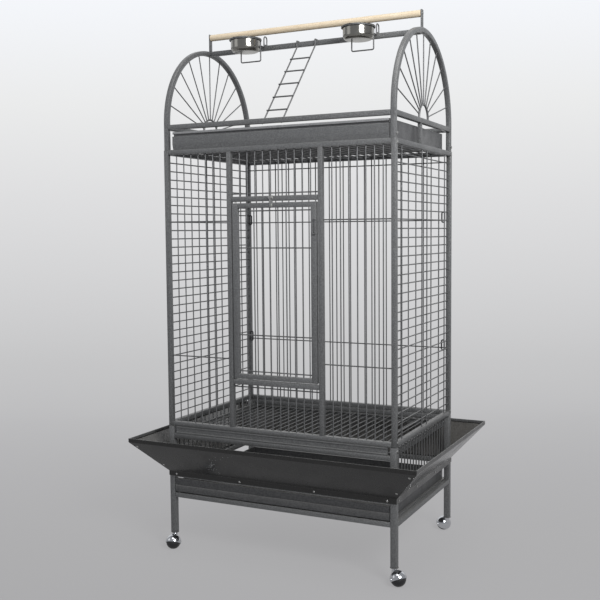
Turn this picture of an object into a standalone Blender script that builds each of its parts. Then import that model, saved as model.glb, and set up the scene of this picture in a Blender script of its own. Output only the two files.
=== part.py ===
"""Play-top parrot cage on a wheeled stand.

Metres, Z up. The front faces -Y and the origin is on the floor under the middle of the cage.
"""
from math import asin, cos, hypot, pi, radians, sin, sqrt, tan

import bmesh
import bpy
from mathutils import Matrix, Vector

# Fits
SEAT = 0.0003
SLIDE = 0.0006
WELD = 0.001

# Square tube frame
WIDTH = 0.813
DEPTH = 0.560
POST = 0.020
RAIL = 0.016
STAND_TOP = 0.420
CAGE_HEIGHT = 0.920

# Wire
BAR_RADIUS = 0.002
BAR_SIDES = 5
ACROSS_GAPS = 28
SIDE_PITCH = 0.02795
UPRIGHT_Y = (-0.214, -0.025, 0.025, 0.214)
CROSSING = 1.5
CROSS_LOW = 0.238
CROSS_HIGH = 0.684

# Stand
LOWER_RAIL_Z = 0.176
UPPER_RAIL_Z = 0.246
GRATE_RAIL_Z = 0.379
SKIRT_BARS = 18
RUNNER_WALL = 0.0015
RUNNER_SHELF = 0.018
RUNNER_DROP = 0.014

# Casters
BALL_RADIUS = 0.024
BALL_STEPS = 16
HOOD_SEGMENTS = 16
HOOD_RINGS = 12
HOOD_CLEAR = 0.0012
HOOD_WALL = 0.001
HOOD_OPEN_Z = 0.0195
HOOD_SLANT = 30.0
TRAIL = 0.022
AXLE_RADIUS = 0.0025
AXLE_CLEAR = 0.0004
STEM_RADIUS = 0.004
STEM_LENGTH = 0.026
STEM_CLEAR = 0.0006
NECK_RADIUS = 0.0075
COLLAR_RADIUS = 0.0135
COLLAR_HEIGHT = 0.002
SWIVEL_TURNS = {"front_left": -73.0, "front_right": -37.7, "rear_left": 200.0, "rear_right": 141.0}

# Seed guard
GUARD_SHEET = 0.0012
GUARD_FLARE = 0.097
GUARD_FLANGE_Z = 0.250
GUARD_FOOT_Z = 0.266
GUARD_RIM_Z = 0.386
GUARD_LIP = 0.012
MITRE_GAP = 0.0004

# Waste tray
DRAWER_CLEAR = 0.0035
TRAY_SIDE_CLEAR = 0.0045
TRAY_WALL = 0.0012
TRAY_HEIGHT = 0.036
TRAY_FRONT_THICK = 0.008
TRAY_CREASE = 0.002
FRONT_SIDE_CLEAR = 0.002
REAR_CLEAR = 0.002

# Floor grate
GRATE_BAR = 0.008
GRATE_BAR_HEIGHT = 0.006
GRATE_SIDE_CLEAR = 0.004
GRATE_FRONT_THICK = 0.010
GRATE_FRONT_CLEAR = 0.0085
GRATE_GROOVE = 0.002

# Front opening and door
MID_POST_X = 0.163
SILL_ABOVE = 0.154
HEADER_ABOVE = 0.745
SECTION_BARS = 7
TRANSOM_BARS = 10
DOOR_SIDE_CLEAR = 0.0045
DOOR_TOP_CLEAR = 0.005
DOOR_FOOT_CLEAR = 0.003
DOOR_THICK = 0.012
DOOR_STILE = 0.020
DOOR_BARS = 8
DOOR_CROSS_INSET = 0.142
PIN_RADIUS = 0.003
PIN_CLEAR = 0.0004
PIN_LENGTH = 0.010
PIN_SHOULDER = 0.0048

# Latch and turn button
LATCH_RADIUS = 0.0025
LATCH_SHANK = 0.042
LATCH_HOOK_RADIUS = 0.004
LATCH_BELOW_TOP = 0.054
LATCH_INSET = 0.004
BUTTON_X = -0.007
BUTTON_WIDTH = 0.012
BUTTON_THICK = 0.002
BUTTON_REACH = 0.030
BUTTON_TAIL = 0.006
KNOB_RADIUS = 0.0065
KNOB_NECK = 0.0048
KNOB_HEIGHT = 0.009

# Play top
RIM_TUBE = 0.016
RIM_ABOVE = 0.066
STRUT = 0.012
STRUT_Y = -0.035
PAN_LEFT_CLEAR = 0.015
PAN_RIGHT_CLEAR = 0.0025
PAN_HEIGHT = 0.057
PAN_WALL = 0.0012
PAN_REAR_Y = 0.240
PAN_FRONT_THICK = 0.007
PAN_FRONT_HEIGHT = 0.0425
PAN_FOLD_ABOVE = 0.0165
PAN_FOLD_IN = 0.0035
PAN_LIP_HEIGHT = 0.008
PAN_LIP_BACK = 0.0005
ARCH_LEG = 0.085
ARCH_STEPS = 28
HUB_RADIUS = 0.043
HUB_LEG = 0.003
HUB_WIRE = 0.0035
HUB_STEPS = 10
SPOKE_STEP = 15.0
SPOKES_EACH_SIDE = 5

# Perch
PERCH_RADIUS = 0.011
PERCH_ABOVE = 0.048
PERCH_POST_THICK = 0.005
PERCH_POST_WIDTH = 0.016
PERCH_POST_RISE = 0.060

# Ladder
LADDER_RADIUS = 0.0025
LADDER_BEND = 0.008
LADDER_LEFT = -0.0455
LADDER_RIGHT = 0.022
LADDER_NECK = 0.0115
LADDER_FOOT_BELOW = 0.0148
RUNG_SPACING = 0.063
FIRST_RUNG = 0.0646
RUNGS = 5
RUNG_OVERHANG = 0.0025

# Feeding bowls
BOWL_X = (-0.209, 0.203)
BOWL_RIM = 0.0546
BOWL_WALL_RADIUS = 0.0495
BOWL_FOOT_RADIUS = 0.0415
BOWL_DEPTH = 0.042
BOWL_STRAIGHT = 0.62
BOWL_SHEET = 0.001
BOWL_STEPS = 18
RING_RADIUS = 0.0528
RING_WIRE = 0.0022
RING_HALF_OPEN = 0.038
RING_ABOVE = 0.007
BOWL_OUT = 0.072
BRACE_DROP = 0.0655
BRACE_BEND = 0.005
HOLDER_ARM_DROP = 0.0075
HOLDER_ARM_BEND = 0.003
HOLDER_HOOK_RISE = 0.028
HOLDER_HOOK_BEND = 0.009
HOLDER_HOOK_TAIL = 0.0165

# Places worked out from the sizes
HALF_W = WIDTH / 2
HALF_D = DEPTH / 2
FRONT = -HALF_D
IN_X = HALF_W - POST
IN_Y = HALF_D - POST
POST_X = HALF_W - POST / 2
POST_Y = HALF_D - POST / 2
CAGE_TOP = STAND_TOP + CAGE_HEIGHT
HOOD_RADIUS = BALL_RADIUS + HOOD_CLEAR + HOOD_WALL
COLLAR_Z = BALL_RADIUS + HOOD_RADIUS + SLIDE
LEG_FOOT = COLLAR_Z + COLLAR_HEIGHT
TRAY_Z = LOWER_RAIL_Z + RAIL + DRAWER_CLEAR
TRAY_FRONT_TOP = UPPER_RAIL_Z - DRAWER_CLEAR
GRATE_Z = GRATE_RAIL_Z + RAIL + SLIDE
GRATE_TOP = GRATE_Z + GRATE_BAR_HEIGHT
MID_IN = MID_POST_X - POST / 2
MID_OUT = MID_POST_X + POST / 2
SILL_Z = STAND_TOP + SILL_ABOVE
HEADER_Z = STAND_TOP + HEADER_ABOVE
DOOR_HALF = MID_IN - DOOR_SIDE_CLEAR
DOOR_LOW = SILL_Z + POST + DOOR_FOOT_CLEAR
DOOR_HIGH = HEADER_Z - DOOR_TOP_CLEAR
HINGE_X = -(DOOR_HALF - DOOR_STILE / 2)
HINGE_Y = FRONT + DOOR_THICK / 2
RIM_Z = CAGE_TOP + RIM_ABOVE
RIM_TOP = RIM_Z + RIM_TUBE
RIM_IN_Y = HALF_D - RIM_TUBE
ARCH_CENTRE_Z = CAGE_TOP + ARCH_LEG
ARCH_TOP = ARCH_CENTRE_Z + HALF_D
ARCH_IN_X = POST_X - RIM_TUBE / 2
TOP_RAIL_Z = ARCH_TOP - RIM_TUBE / 2
HOOK_Z = ARCH_TOP + SEAT + RING_WIRE
RING_Z = HOOK_Z + RING_ABOVE
PERCH_Z = ARCH_TOP + PERCH_ABOVE

# Finishes: colour, roughness, metallic
FINISHES = {
    "hammered_coat": ((0.060, 0.062, 0.066, 1.0), 0.45, 0.35),
    "gloss_sheet": ((0.014, 0.013, 0.013, 1.0), 0.22, 0.30),
    "tray_sheet": ((0.045, 0.046, 0.050, 1.0), 0.40, 0.35),
    "stainless": ((0.62, 0.62, 0.60, 1.0), 0.18, 1.0),
    "zinc": ((0.50, 0.50, 0.48, 1.0), 0.35, 1.0),
    "chrome": ((0.75, 0.75, 0.76, 1.0), 0.08, 1.0),
    "black_nylon": ((0.012, 0.012, 0.013, 1.0), 0.45, 0.0),
    "pale_wood": ((0.66, 0.55, 0.42, 1.0), 0.65, 0.0),
}

# Directions from the middle to the four faces
OUTWARD = {
    "front": Vector((0, -1, 0)),
    "back": Vector((0, 1, 0)),
    "left": Vector((-1, 0, 0)),
    "right": Vector((1, 0, 0)),
}
UP = Vector((0, 0, 1))

# Local X along Y, local Y up, local Z along X
SIDE_PLANE = Matrix(((0, 0, 1, 0), (1, 0, 0, 0), (0, 1, 0, 0), (0, 0, 0, 1)))
# Local X along X, local Y up, local Z towards the front
FRONT_PLANE = Matrix(((1, 0, 0, 0), (0, 0, -1, 0), (0, 1, 0, 0), (0, 0, 0, 1)))


# Scene, materials and objects

for old in list(bpy.data.objects):
    bpy.data.objects.remove(old, do_unlink=True)

PARTS = bpy.data.collections.new("parrot_cage")
CUTTERS = bpy.data.collections.new("cutters")
bpy.context.scene.collection.children.link(PARTS)
bpy.context.scene.collection.children.link(CUTTERS)


def finish_material(name):
    """The Principled material of one finish, made once."""
    if name in bpy.data.materials:
        return bpy.data.materials[name]
    colour, roughness, metallic = FINISHES[name]
    made = bpy.data.materials.new(name)
    made.use_nodes = True
    shader = made.node_tree.nodes["Principled BSDF"]
    shader.inputs["Base Color"].default_value = colour
    shader.inputs["Roughness"].default_value = roughness
    shader.inputs["Metallic"].default_value = metallic
    made.diffuse_color = colour
    return made


def add_object(name, data, finish, place=None):
    """Link an object for this mesh or curve and give it its finish."""
    made = bpy.data.objects.new(name, data)
    PARTS.objects.link(made)
    if not data.materials:
        data.materials.append(finish_material(finish))
    if place is not None:
        made.matrix_world = place
    return made


def mesh_from(name, shape):
    """Turn a bmesh into a mesh with all faces pointing out."""
    bmesh.ops.recalc_face_normals(shape, faces=shape.faces)
    data = bpy.data.meshes.new(name)
    shape.to_mesh(data)
    shape.free()
    return data


def smooth(data, angle=35.0):
    """Shade round faces smooth and keep the real edges sharp."""
    data.shade_smooth()
    data.set_sharp_from_angle(angle=radians(angle))


def evaluated_mesh(made):
    """The mesh of an object as the viewport shows it, with a curve's caps welded."""
    bpy.context.view_layer.update()
    graph = bpy.context.evaluated_depsgraph_get()
    data = bpy.data.meshes.new_from_object(made.evaluated_get(graph))
    shape = bmesh.new()
    shape.from_mesh(data)
    bmesh.ops.remove_doubles(shape, verts=shape.verts, dist=0.00001)
    shape.to_mesh(data)
    shape.free()
    return data


def set_origin(made, point):
    """Move an object's origin to a point and leave its shape where it is."""
    made.data.transform(Matrix.Translation(-Vector(point)))
    made.location = Vector(point)


def ride(piece, carrier):
    """Let one piece move with another."""
    bpy.context.view_layer.update()
    piece.parent = carrier
    piece.matrix_parent_inverse = carrier.matrix_world.inverted()


# Basic shapes

def block_mesh(name, spans):
    """Square tubes or bars, each given by its x, y and z ranges."""
    shape = bmesh.new()
    for x, y, z in spans:
        middle = Vector((sum(x), sum(y), sum(z))) / 2
        size = Vector((x[1] - x[0], y[1] - y[0], z[1] - z[0]))
        bmesh.ops.create_cube(shape, size=1.0, matrix=Matrix.Translation(middle) @ Matrix.Diagonal(size).to_4x4())
    return mesh_from(name, shape)


def block(name, finish, x, y, z):
    """One square tube or bar from its x, y and z ranges."""
    return add_object(name, block_mesh(name, [(x, y, z)]), finish)


def add_rod(shape, start, stop, radius, segments, far_radius=None):
    """Add a closed cylinder or cone between two points to a bmesh."""
    along = stop - start
    turn = along.to_track_quat("Z", "Y").to_matrix().to_4x4()
    place = Matrix.Translation((start + stop) / 2) @ turn
    bmesh.ops.create_cone(shape, cap_ends=True, segments=segments, radius1=radius,
                          radius2=radius if far_radius is None else far_radius, depth=along.length, matrix=place)


def rod_mesh(name, start, stop, radius, segments=12, far_radius=None):
    """A straight round rod or a cone between two points."""
    shape = bmesh.new()
    add_rod(shape, Vector(start), Vector(stop), radius, segments, far_radius)
    return mesh_from(name, shape)


def wire_curve(name, runs, radius, loops=()):
    """Wires, each run or closed loop a list of points along its middle."""
    data = bpy.data.curves.new(name, "CURVE")
    data.dimensions = "3D"
    data.bevel_depth = radius
    data.bevel_resolution = 1
    data.use_fill_caps = True
    for run in [*runs, *loops]:
        spline = data.splines.new("POLY")
        spline.points.add(len(run) - 1)
        for point, place in zip(spline.points, run):
            point.co = (*place, 1.0)
        spline.use_cyclic_u = run in loops
    return data


def outline_curve(name, outlines, half_length):
    """A flat outline drawn out both ways along its own Z; outlines inside the first are holes."""
    data = bpy.data.curves.new(name, "CURVE")
    data.dimensions = "2D"
    data.fill_mode = "BOTH"
    data.extrude = half_length
    for outline in outlines:
        spline = data.splines.new("POLY")
        spline.points.add(len(outline) - 1)
        for point, (across, up) in zip(spline.points, outline):
            point.co = (across, up, 0.0, 1.0)
        spline.use_cyclic_u = True
    return data


def rectangle(x, y):
    """The corners of a rectangle from its two ranges."""
    return [(x[0], y[0]), (x[1], y[0]), (x[1], y[1]), (x[0], y[1])]


def prism(name, finish, outline, half_length, place):
    """A flat outline drawn out both ways and put in place."""
    return add_object(name, outline_curve(name, [outline], half_length), finish, place)


def curve_mesh(data, place=Matrix.Identity(4)):
    """A curve made a closed mesh, with its caps welded, in world coordinates."""
    drawn = bpy.data.objects.new(data.name, data)
    PARTS.objects.link(drawn)
    made = evaluated_mesh(drawn)
    made.transform(place)
    bpy.data.objects.remove(drawn)
    return made


def wire_mesh(name, runs, radius, loops=()):
    """Bent wires as a closed mesh."""
    return curve_mesh(wire_curve(name, runs, radius, loops))


def bar_mesh(name, runs, radius=BAR_RADIUS):
    """Straight wires as a mesh of closed rods, each given by its two ends."""
    shape = bmesh.new()
    for start, stop in runs:
        add_rod(shape, Vector(start), Vector(stop), radius, BAR_SIDES)
    return mesh_from(name, shape)


def outline_mesh(name, outlines, half_length, place):
    """A drawn-out outline as a closed mesh."""
    return curve_mesh(outline_curve(name, outlines, half_length), place)


def weld(name, finish, base, *pieces):
    """Join meshes that overlap into one welded body."""
    made = add_object(name, base, finish)
    for number, piece in enumerate(pieces):
        tool = bpy.data.objects.new(f"{name}_weld_{number}", piece)
        CUTTERS.objects.link(tool)
        tool.hide_render = True
        tool.display_type = "WIRE"
        combine(made, tool, "UNION")
    return made


def turned(name, finish, profile, steps, place, closed=False):
    """A solid turned about Z from its (radius, height) profile, outer side running down."""
    shape = bmesh.new()
    points = [shape.verts.new((radius, 0.0, height)) for radius, height in profile]
    for first, second in zip(points, points[1:]):
        shape.edges.new((first, second))
    if closed:
        shape.edges.new((points[-1], points[0]))
    data = bpy.data.meshes.new(name)
    shape.to_mesh(data)
    shape.free()
    made = add_object(name, data, finish, place)
    screw = made.modifiers.new("Turn", "SCREW")
    screw.axis = "Z"
    screw.angle = 2 * pi
    screw.steps = steps
    screw.render_steps = steps
    screw.use_merge_vertices = True
    screw.merge_threshold = 0.00001
    screw.use_smooth_shade = True
    return made


def cutter(name, shape):
    """A hidden mesh object that cuts or joins another."""
    made = bpy.data.objects.new(name, mesh_from(name, shape))
    CUTTERS.objects.link(made)
    made.hide_render = True
    made.display_type = "WIRE"
    return made


def combine(target, tool, operation):
    """Add an exact Boolean modifier."""
    step = target.modifiers.new(tool.name, "BOOLEAN")
    step.operation = operation
    step.solver = "EXACT"
    step.object = tool


def drill(target, name, start, stop, radius):
    """Cut a round blind hole from start to stop."""
    shape = bmesh.new()
    add_rod(shape, Vector(start), Vector(stop), radius, 10)
    combine(target, cutter(name, shape), "DIFFERENCE")


def open_box(name, finish, x, y, z, wall):
    """A tray: a box without its top, with its wall growing inwards."""
    shape = bmesh.new()
    middle = Vector((sum(x), sum(y), sum(z))) / 2
    size = Vector((x[1] - x[0], y[1] - y[0], z[1] - z[0]))
    bmesh.ops.create_cube(shape, size=1.0, matrix=Matrix.Translation(middle) @ Matrix.Diagonal(size).to_4x4())
    lid = [face for face in shape.faces if face.normal.z > 0.5]
    bmesh.ops.delete(shape, geom=lid, context="FACES")
    data = bpy.data.meshes.new(name)
    shape.to_mesh(data)
    shape.free()
    made = add_object(name, data, finish)
    shell = made.modifiers.new("Sheet", "SOLIDIFY")
    shell.thickness = wall
    shell.offset = -1.0
    shell.use_even_offset = True
    return made


def spaced(low, high, count):
    """Places that part the stretch from low to high into equal gaps."""
    return [low + (high - low) * (number + 1) / (count + 1) for number in range(count)]


def rounded(points, bends, steps=2):
    """A wire's path with its inner corners rounded, one bend radius for each; 0 keeps a corner."""
    path = [points[0]]
    for before, corner, after, bend in zip(points, points[1:], points[2:], bends):
        if bend == 0.0:
            path.append(corner)
            continue
        back = (before - corner).normalized()
        ahead = (after - corner).normalized()
        half = back.angle(ahead) / 2
        centre = corner + (back + ahead).normalized() * (bend / sin(half))
        reach = bend / tan(half)
        first = (corner + back * reach - centre).normalized()
        last = (corner + ahead * reach - centre).normalized()
        path += [centre + first.slerp(last, number / steps) * bend for number in range(steps + 1)]
    return path + [points[-1]]


def face_frame(side, distance):
    """Local X outward through a face, local Y up, local Z along the face."""
    outward = OUTWARD[side]
    along = outward.cross(UP)
    turn = Matrix((outward, UP, along)).transposed().to_4x4()
    return Matrix.Translation(outward * distance) @ turn


def offset_sheet(line, thickness):
    """Close a bent line into the outline of a sheet that lies on its right-hand side."""
    normals = []
    for (x0, y0), (x1, y1) in zip(line, line[1:]):
        length = hypot(x1 - x0, y1 - y0)
        normals.append(((y1 - y0) / length, (x0 - x1) / length))
    far_side = []
    for number, (x, y) in enumerate(line):
        before = normals[max(number - 1, 0)]
        after = normals[min(number, len(normals) - 1)]
        share = 1 + before[0] * after[0] + before[1] * after[1]
        far_side.append((x + thickness * (before[0] + after[0]) / share,
                         y + thickness * (before[1] + after[1]) / share))
    return line + far_side[::-1]


# Stand

def make_legs():
    """Four square legs, each with a foot collar and a bore for its caster's stem."""
    for end, sign_y in (("front", -1), ("rear", 1)):
        for side, sign_x in (("left", -1), ("right", 1)):
            name = f"stand_leg_{end}_{side}"
            axis = Vector((sign_x * POST_X, sign_y * POST_Y, 0))
            x = sorted((sign_x * IN_X, sign_x * HALF_W))
            y = sorted((sign_y * IN_Y, sign_y * HALF_D))
            tube = block_mesh(name, [(x, y, (LEG_FOOT, STAND_TOP))])
            collar = rod_mesh(f"{name}_collar", axis + UP * COLLAR_Z, axis + UP * (LEG_FOOT + WELD), COLLAR_RADIUS, 14)
            leg = weld(name, "hammered_coat", tube, collar)
            bore_top = LEG_FOOT + STEM_LENGTH + STEM_CLEAR
            drill(leg, f"{name}_bore", axis + UP * (COLLAR_Z - WELD), axis + UP * bore_top, STEM_RADIUS + STEM_CLEAR)


def runner_outline(outer, top):
    """Section of an angle runner: distance outward and height."""
    return [(outer, top - RUNNER_DROP), (outer, top), (outer - RUNNER_SHELF, top),
            (outer - RUNNER_SHELF, top - RUNNER_WALL), (outer - RUNNER_WALL, top - RUNNER_WALL),
            (outer - RUNNER_WALL, top - RUNNER_DROP)]


def make_stand_rails():
    """Rails between the legs; each lower side rail carries a runner for the waste tray."""
    across = (-IN_X + SEAT, IN_X - SEAT)
    along = (-IN_Y + SEAT, IN_Y - SEAT)
    front_y = (FRONT, FRONT + RAIL)
    for name, z in (("low", LOWER_RAIL_Z), ("high", UPPER_RAIL_Z), ("grate", GRATE_RAIL_Z)):
        block(f"stand_rail_front_{name}", "hammered_coat", across, front_y, (z, z + RAIL))
    block("stand_rail_back", "hammered_coat", across, (HALF_D - RAIL, HALF_D), (LOWER_RAIL_Z, LOWER_RAIL_Z + RAIL))
    for side, sign in (("left", -1), ("right", 1)):
        x = sorted((sign * HALF_W, sign * (HALF_W - RAIL)))
        rail = block_mesh(f"rail_{side}", [(x, along, (LOWER_RAIL_Z, LOWER_RAIL_Z + RAIL))])
        outline = runner_outline(HALF_W - RAIL + RUNNER_WALL / 2, TRAY_Z - SEAT)
        runner = outline_mesh(f"runner_{side}", [outline], IN_Y - SEAT, face_frame(side, 0.0))
        weld(f"stand_rail_{side}", "hammered_coat", rail, runner)


def make_grate_runners():
    """Angle runners on the inner faces of the legs."""
    outline = runner_outline(IN_X - SEAT, GRATE_Z - SEAT)
    for side in ("left", "right"):
        prism(f"grate_runner_{side}", "hammered_coat", outline, HALF_D - RAIL - SEAT, face_frame(side, 0.0))


def make_skirts():
    """Upper rails with short upright wires: open to the cage at the sides, railed over at the back."""
    foot = UPPER_RAIL_Z + RAIL - WELD
    high = (UPPER_RAIL_Z, UPPER_RAIL_Z + RAIL)
    for side, sign in (("left", -1), ("right", 1)):
        x = sorted((sign * HALF_W, sign * (HALF_W - RAIL)))
        rail = block_mesh(f"skirt_rail_{side}", [(x, (-IN_Y + SEAT, IN_Y - SEAT), high)])
        runs = [[(sign * POST_X, y, foot), (sign * POST_X, y, STAND_TOP - SEAT)]
                for y in spaced(-IN_Y, IN_Y, SKIRT_BARS)]
        weld(f"skirt_{side}", "hammered_coat", rail, bar_mesh(f"skirt_wires_{side}", runs))
    across = (-IN_X + SEAT, IN_X - SEAT)
    back_y = (HALF_D - RAIL, HALF_D)
    rails = block_mesh("skirt_rails_back", [(across, back_y, high), (across, back_y, (GRATE_RAIL_Z, GRATE_RAIL_Z + RAIL))])
    wire_y = HALF_D - RAIL / 2
    runs = [[(x, wire_y, foot), (x, wire_y, GRATE_RAIL_Z + WELD)] for x in spaced(-IN_X, IN_X, ACROSS_GAPS - 1)]
    weld("skirt_back", "hammered_coat", rails, bar_mesh("skirt_wires_back", runs))


# Casters

def ball_profile(radius, bore, points=7):
    """Half a ball's section, down its outer side, closed along the bore."""
    top_angle = pi / 2 - asin(bore / radius)
    angles = [top_angle * (1 - 2 * number / (points - 1)) for number in range(points)]
    return [(radius * cos(angle), radius * sin(angle)) for angle in angles]


def hood_mesh():
    """A chromed half shell round the ball with its neck, stem and axle, the stem on Z."""
    ball_centre = Vector((TRAIL, 0, BALL_RADIUS))
    inner = HOOD_RADIUS - HOOD_WALL
    across = Vector((0, 1, 0))
    shape = bmesh.new()
    bmesh.ops.create_uvsphere(shape, u_segments=HOOD_SEGMENTS, v_segments=HOOD_RINGS, radius=HOOD_RADIUS,
                              matrix=Matrix.Translation(ball_centre))
    hood = bpy.data.objects.new("hood_blank", mesh_from("hood_blank", shape))
    PARTS.objects.link(hood)
    tools = []

    neck = bmesh.new()
    neck_foot = UP * (BALL_RADIUS + HOOD_RADIUS / 4)
    add_rod(neck, neck_foot, UP * (COLLAR_Z - SEAT), NECK_RADIUS * 1.2, 10, NECK_RADIUS)
    tools.append((cutter("hood_neck", neck), "UNION"))

    stem = bmesh.new()
    add_rod(stem, UP * (COLLAR_Z - COLLAR_HEIGHT), UP * (LEG_FOOT + STEM_LENGTH), STEM_RADIUS, 8)
    tools.append((cutter("hood_stem", stem), "UNION"))

    space = bmesh.new()
    bmesh.ops.create_uvsphere(space, u_segments=HOOD_SEGMENTS, v_segments=HOOD_RINGS, radius=inner,
                              matrix=Matrix.Translation(ball_centre))
    tools.append((cutter("hood_space", space), "DIFFERENCE"))

    below = bmesh.new()
    slanted = Matrix.Translation(ball_centre) @ Matrix.Rotation(radians(HOOD_SLANT), 4, "Y")
    drop = Matrix.Translation(-UP * (BALL_RADIUS - HOOD_OPEN_Z + HOOD_RADIUS))
    bmesh.ops.create_cube(below, size=2 * HOOD_RADIUS, matrix=slanted @ drop @ Matrix.Diagonal((2, 2, 1)).to_4x4())
    tools.append((cutter("hood_opening", below), "DIFFERENCE"))

    axle = bmesh.new()
    reach = across * (inner + HOOD_WALL / 2)
    add_rod(axle, ball_centre - reach, ball_centre + reach, AXLE_RADIUS, 8)
    tools.append((cutter("hood_axle", axle), "UNION"))

    for tool, operation in tools:
        combine(hood, tool, operation)
    data = evaluated_mesh(hood)
    data.name = "caster_hood"
    bpy.data.objects.remove(hood)
    for tool, operation in tools:
        bpy.data.objects.remove(tool)
    smooth(data, 40.0)
    return data


def make_casters():
    """Four ball casters: hood and stem turn about the leg, the ball turns on its axle."""
    hood_data = hood_mesh()
    profile = ball_profile(BALL_RADIUS, AXLE_RADIUS + AXLE_CLEAR)
    lay_flat = Matrix.Rotation(radians(-90), 4, "X")
    for corner, angle in SWIVEL_TURNS.items():
        end, side = corner.split("_")
        foot = Vector((POST_X if side == "right" else -POST_X, POST_Y if end == "rear" else -POST_Y, 0))
        swivel = Matrix.Translation(foot) @ Matrix.Rotation(radians(angle), 4, "Z")
        hood = add_object(f"caster_hood_{corner}", hood_data, "chrome", swivel)
        centre = Matrix.Translation((TRAIL, 0, BALL_RADIUS))
        ball = turned(f"caster_ball_{corner}", "black_nylon", profile, BALL_STEPS,
                      swivel @ centre @ lay_flat, closed=True)
        ride(ball, hood)


# Seed guard

def guard_line():
    """The inner face of the bent sheet: flange, slope and lip, from the bottom up."""
    rim = GUARD_FLARE - GUARD_SHEET
    return [(SEAT, GUARD_FLANGE_Z), (SEAT, GUARD_FOOT_Z), (rim, GUARD_RIM_Z - GUARD_LIP), (rim, GUARD_RIM_Z)]


def make_guard(side, half_length):
    """One flared sheet, mitred at both ends."""
    outline = offset_sheet(guard_line(), GUARD_SHEET)
    overlong = half_length + 2 * GUARD_FLARE
    distance = HALF_D if side in ("front", "back") else HALF_W
    place = face_frame(side, distance)
    shape = bmesh.new()
    shape.from_mesh(outline_mesh("guard_blank", [outline], overlong, Matrix.Identity(4)))
    for end in (-1, 1):
        bmesh.ops.bisect_plane(shape, geom=shape.verts[:] + shape.edges[:] + shape.faces[:],
                               plane_co=(0, 0, end * (half_length - MITRE_GAP)), plane_no=(-1, 0, end),
                               clear_outer=True)
        bmesh.ops.holes_fill(shape, edges=[edge for edge in shape.edges if edge.is_boundary], sides=0)
    name = f"seed_guard_{side}"
    add_object(name, mesh_from(name, shape), "gloss_sheet", place)


# Drawers

def creased_front(low, high, crease, depth, thick):
    """Section of a folded front: a flat face with one shallow crease along it."""
    return [(0, low), (0, crease - depth), (-depth, crease), (0, crease + depth), (0, high), (-thick, high),
            (-thick, low)]


def make_waste_tray():
    """Sheet tray on the lower runners, with its folded front between the rails."""
    half = IN_X - TRAY_SIDE_CLEAR
    tray = open_box("waste_tray", "tray_sheet", (-half, half),
                    (FRONT + TRAY_FRONT_THICK + SEAT, HALF_D - RAIL - REAR_CLEAR),
                    (TRAY_Z, TRAY_Z + TRAY_HEIGHT), TRAY_WALL)
    middle = (TRAY_Z + TRAY_FRONT_TOP) / 2
    outline = creased_front(TRAY_Z, TRAY_FRONT_TOP, middle, TRAY_CREASE, TRAY_FRONT_THICK)
    front = prism("waste_tray_front", "tray_sheet", outline, IN_X - FRONT_SIDE_CLEAR, face_frame("front", HALF_D))
    ride(front, tray)


def make_grate():
    """Pull-out floor: a flat bar frame with wires from front to back, and a grooved front."""
    half = IN_X - GRATE_SIDE_CLEAR
    front_y = FRONT + GRATE_FRONT_THICK + SEAT
    rear_y = HALF_D - RAIL - REAR_CLEAR
    frame = outline_mesh("grate_frame", [rectangle((-half, half), (front_y, rear_y)),
                                         rectangle((-half + GRATE_BAR, half - GRATE_BAR),
                                                   (front_y + GRATE_BAR, rear_y - GRATE_BAR))],
                         GRATE_BAR_HEIGHT / 2, Matrix.Translation((0, 0, GRATE_Z + GRATE_BAR_HEIGHT / 2)))
    ends = (front_y + GRATE_BAR - WELD, rear_y - GRATE_BAR + WELD)
    wire_z = GRATE_TOP - BAR_RADIUS
    runs = [[(x, y, wire_z) for y in ends] for x in spaced(-half + GRATE_BAR, half - GRATE_BAR, ACROSS_GAPS - 1)]
    floor = weld("grate_floor", "hammered_coat", frame, bar_mesh("grate_wires", runs))
    high = STAND_TOP - SLIDE
    hem = (high - GRATE_Z) / 5
    outline = [(0, GRATE_Z), (0, GRATE_Z + hem), (-GRATE_GROOVE, GRATE_Z + hem), (-GRATE_GROOVE, high - hem),
               (0, high - hem), (0, high), (-GRATE_FRONT_THICK, high), (-GRATE_FRONT_THICK, GRATE_Z)]
    front = prism("grate_front", "hammered_coat", outline, IN_X - GRATE_FRONT_CLEAR, face_frame("front", HALF_D))
    ride(front, floor)


# Cage body

def make_side_panel(side, sign):
    """A welded panel: two posts and two rails, level wires for climbing, four uprights inside them."""
    low = STAND_TOP + POST
    high = CAGE_TOP - POST
    x = sign * POST_X
    frame = outline_mesh(f"{side}_frame", [rectangle((-HALF_D, HALF_D), (STAND_TOP + SEAT, CAGE_TOP)),
                                           rectangle((-IN_Y, IN_Y), (low, high))],
                         POST / 2, Matrix.Translation((x, 0, 0)) @ SIDE_PLANE)
    count = int((high - low) / SIDE_PITCH)
    first = (low + high - (count - 1) * SIDE_PITCH) / 2
    reach = IN_Y + WELD
    level = [[(x, y, first + number * SIDE_PITCH) for y in (-reach, reach)] for number in range(count)]
    inside = sign * (POST_X - 2 * BAR_RADIUS - SEAT)
    upright = [[(inside, y, z) for z in (low - WELD, high + WELD)] for y in UPRIGHT_Y]
    weld(f"{side}_panel", "hammered_coat", frame, bar_mesh(f"{side}_wires", level + upright))


def make_back_panel():
    """The back's bottom rail with upright wires and two cross wires welded inside them."""
    across = (-IN_X + SEAT, IN_X - SEAT)
    low = STAND_TOP + POST
    rail = block_mesh("back_rail", [(across, (IN_Y, HALF_D), (STAND_TOP + SEAT, low))])
    upright = [[(x, POST_Y, z) for z in (low - WELD, CAGE_TOP - POST - SEAT)]
               for x in spaced(-IN_X, IN_X, ACROSS_GAPS - 1)]
    inside = POST_Y - CROSSING * BAR_RADIUS
    cross = [[(x, inside, STAND_TOP + above) for x in across] for above in (CROSS_LOW, CROSS_HIGH)]
    weld("back_panel", "hammered_coat", rail, bar_mesh("back_uprights", upright),
         bar_mesh("back_cross_wires", cross))


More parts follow.
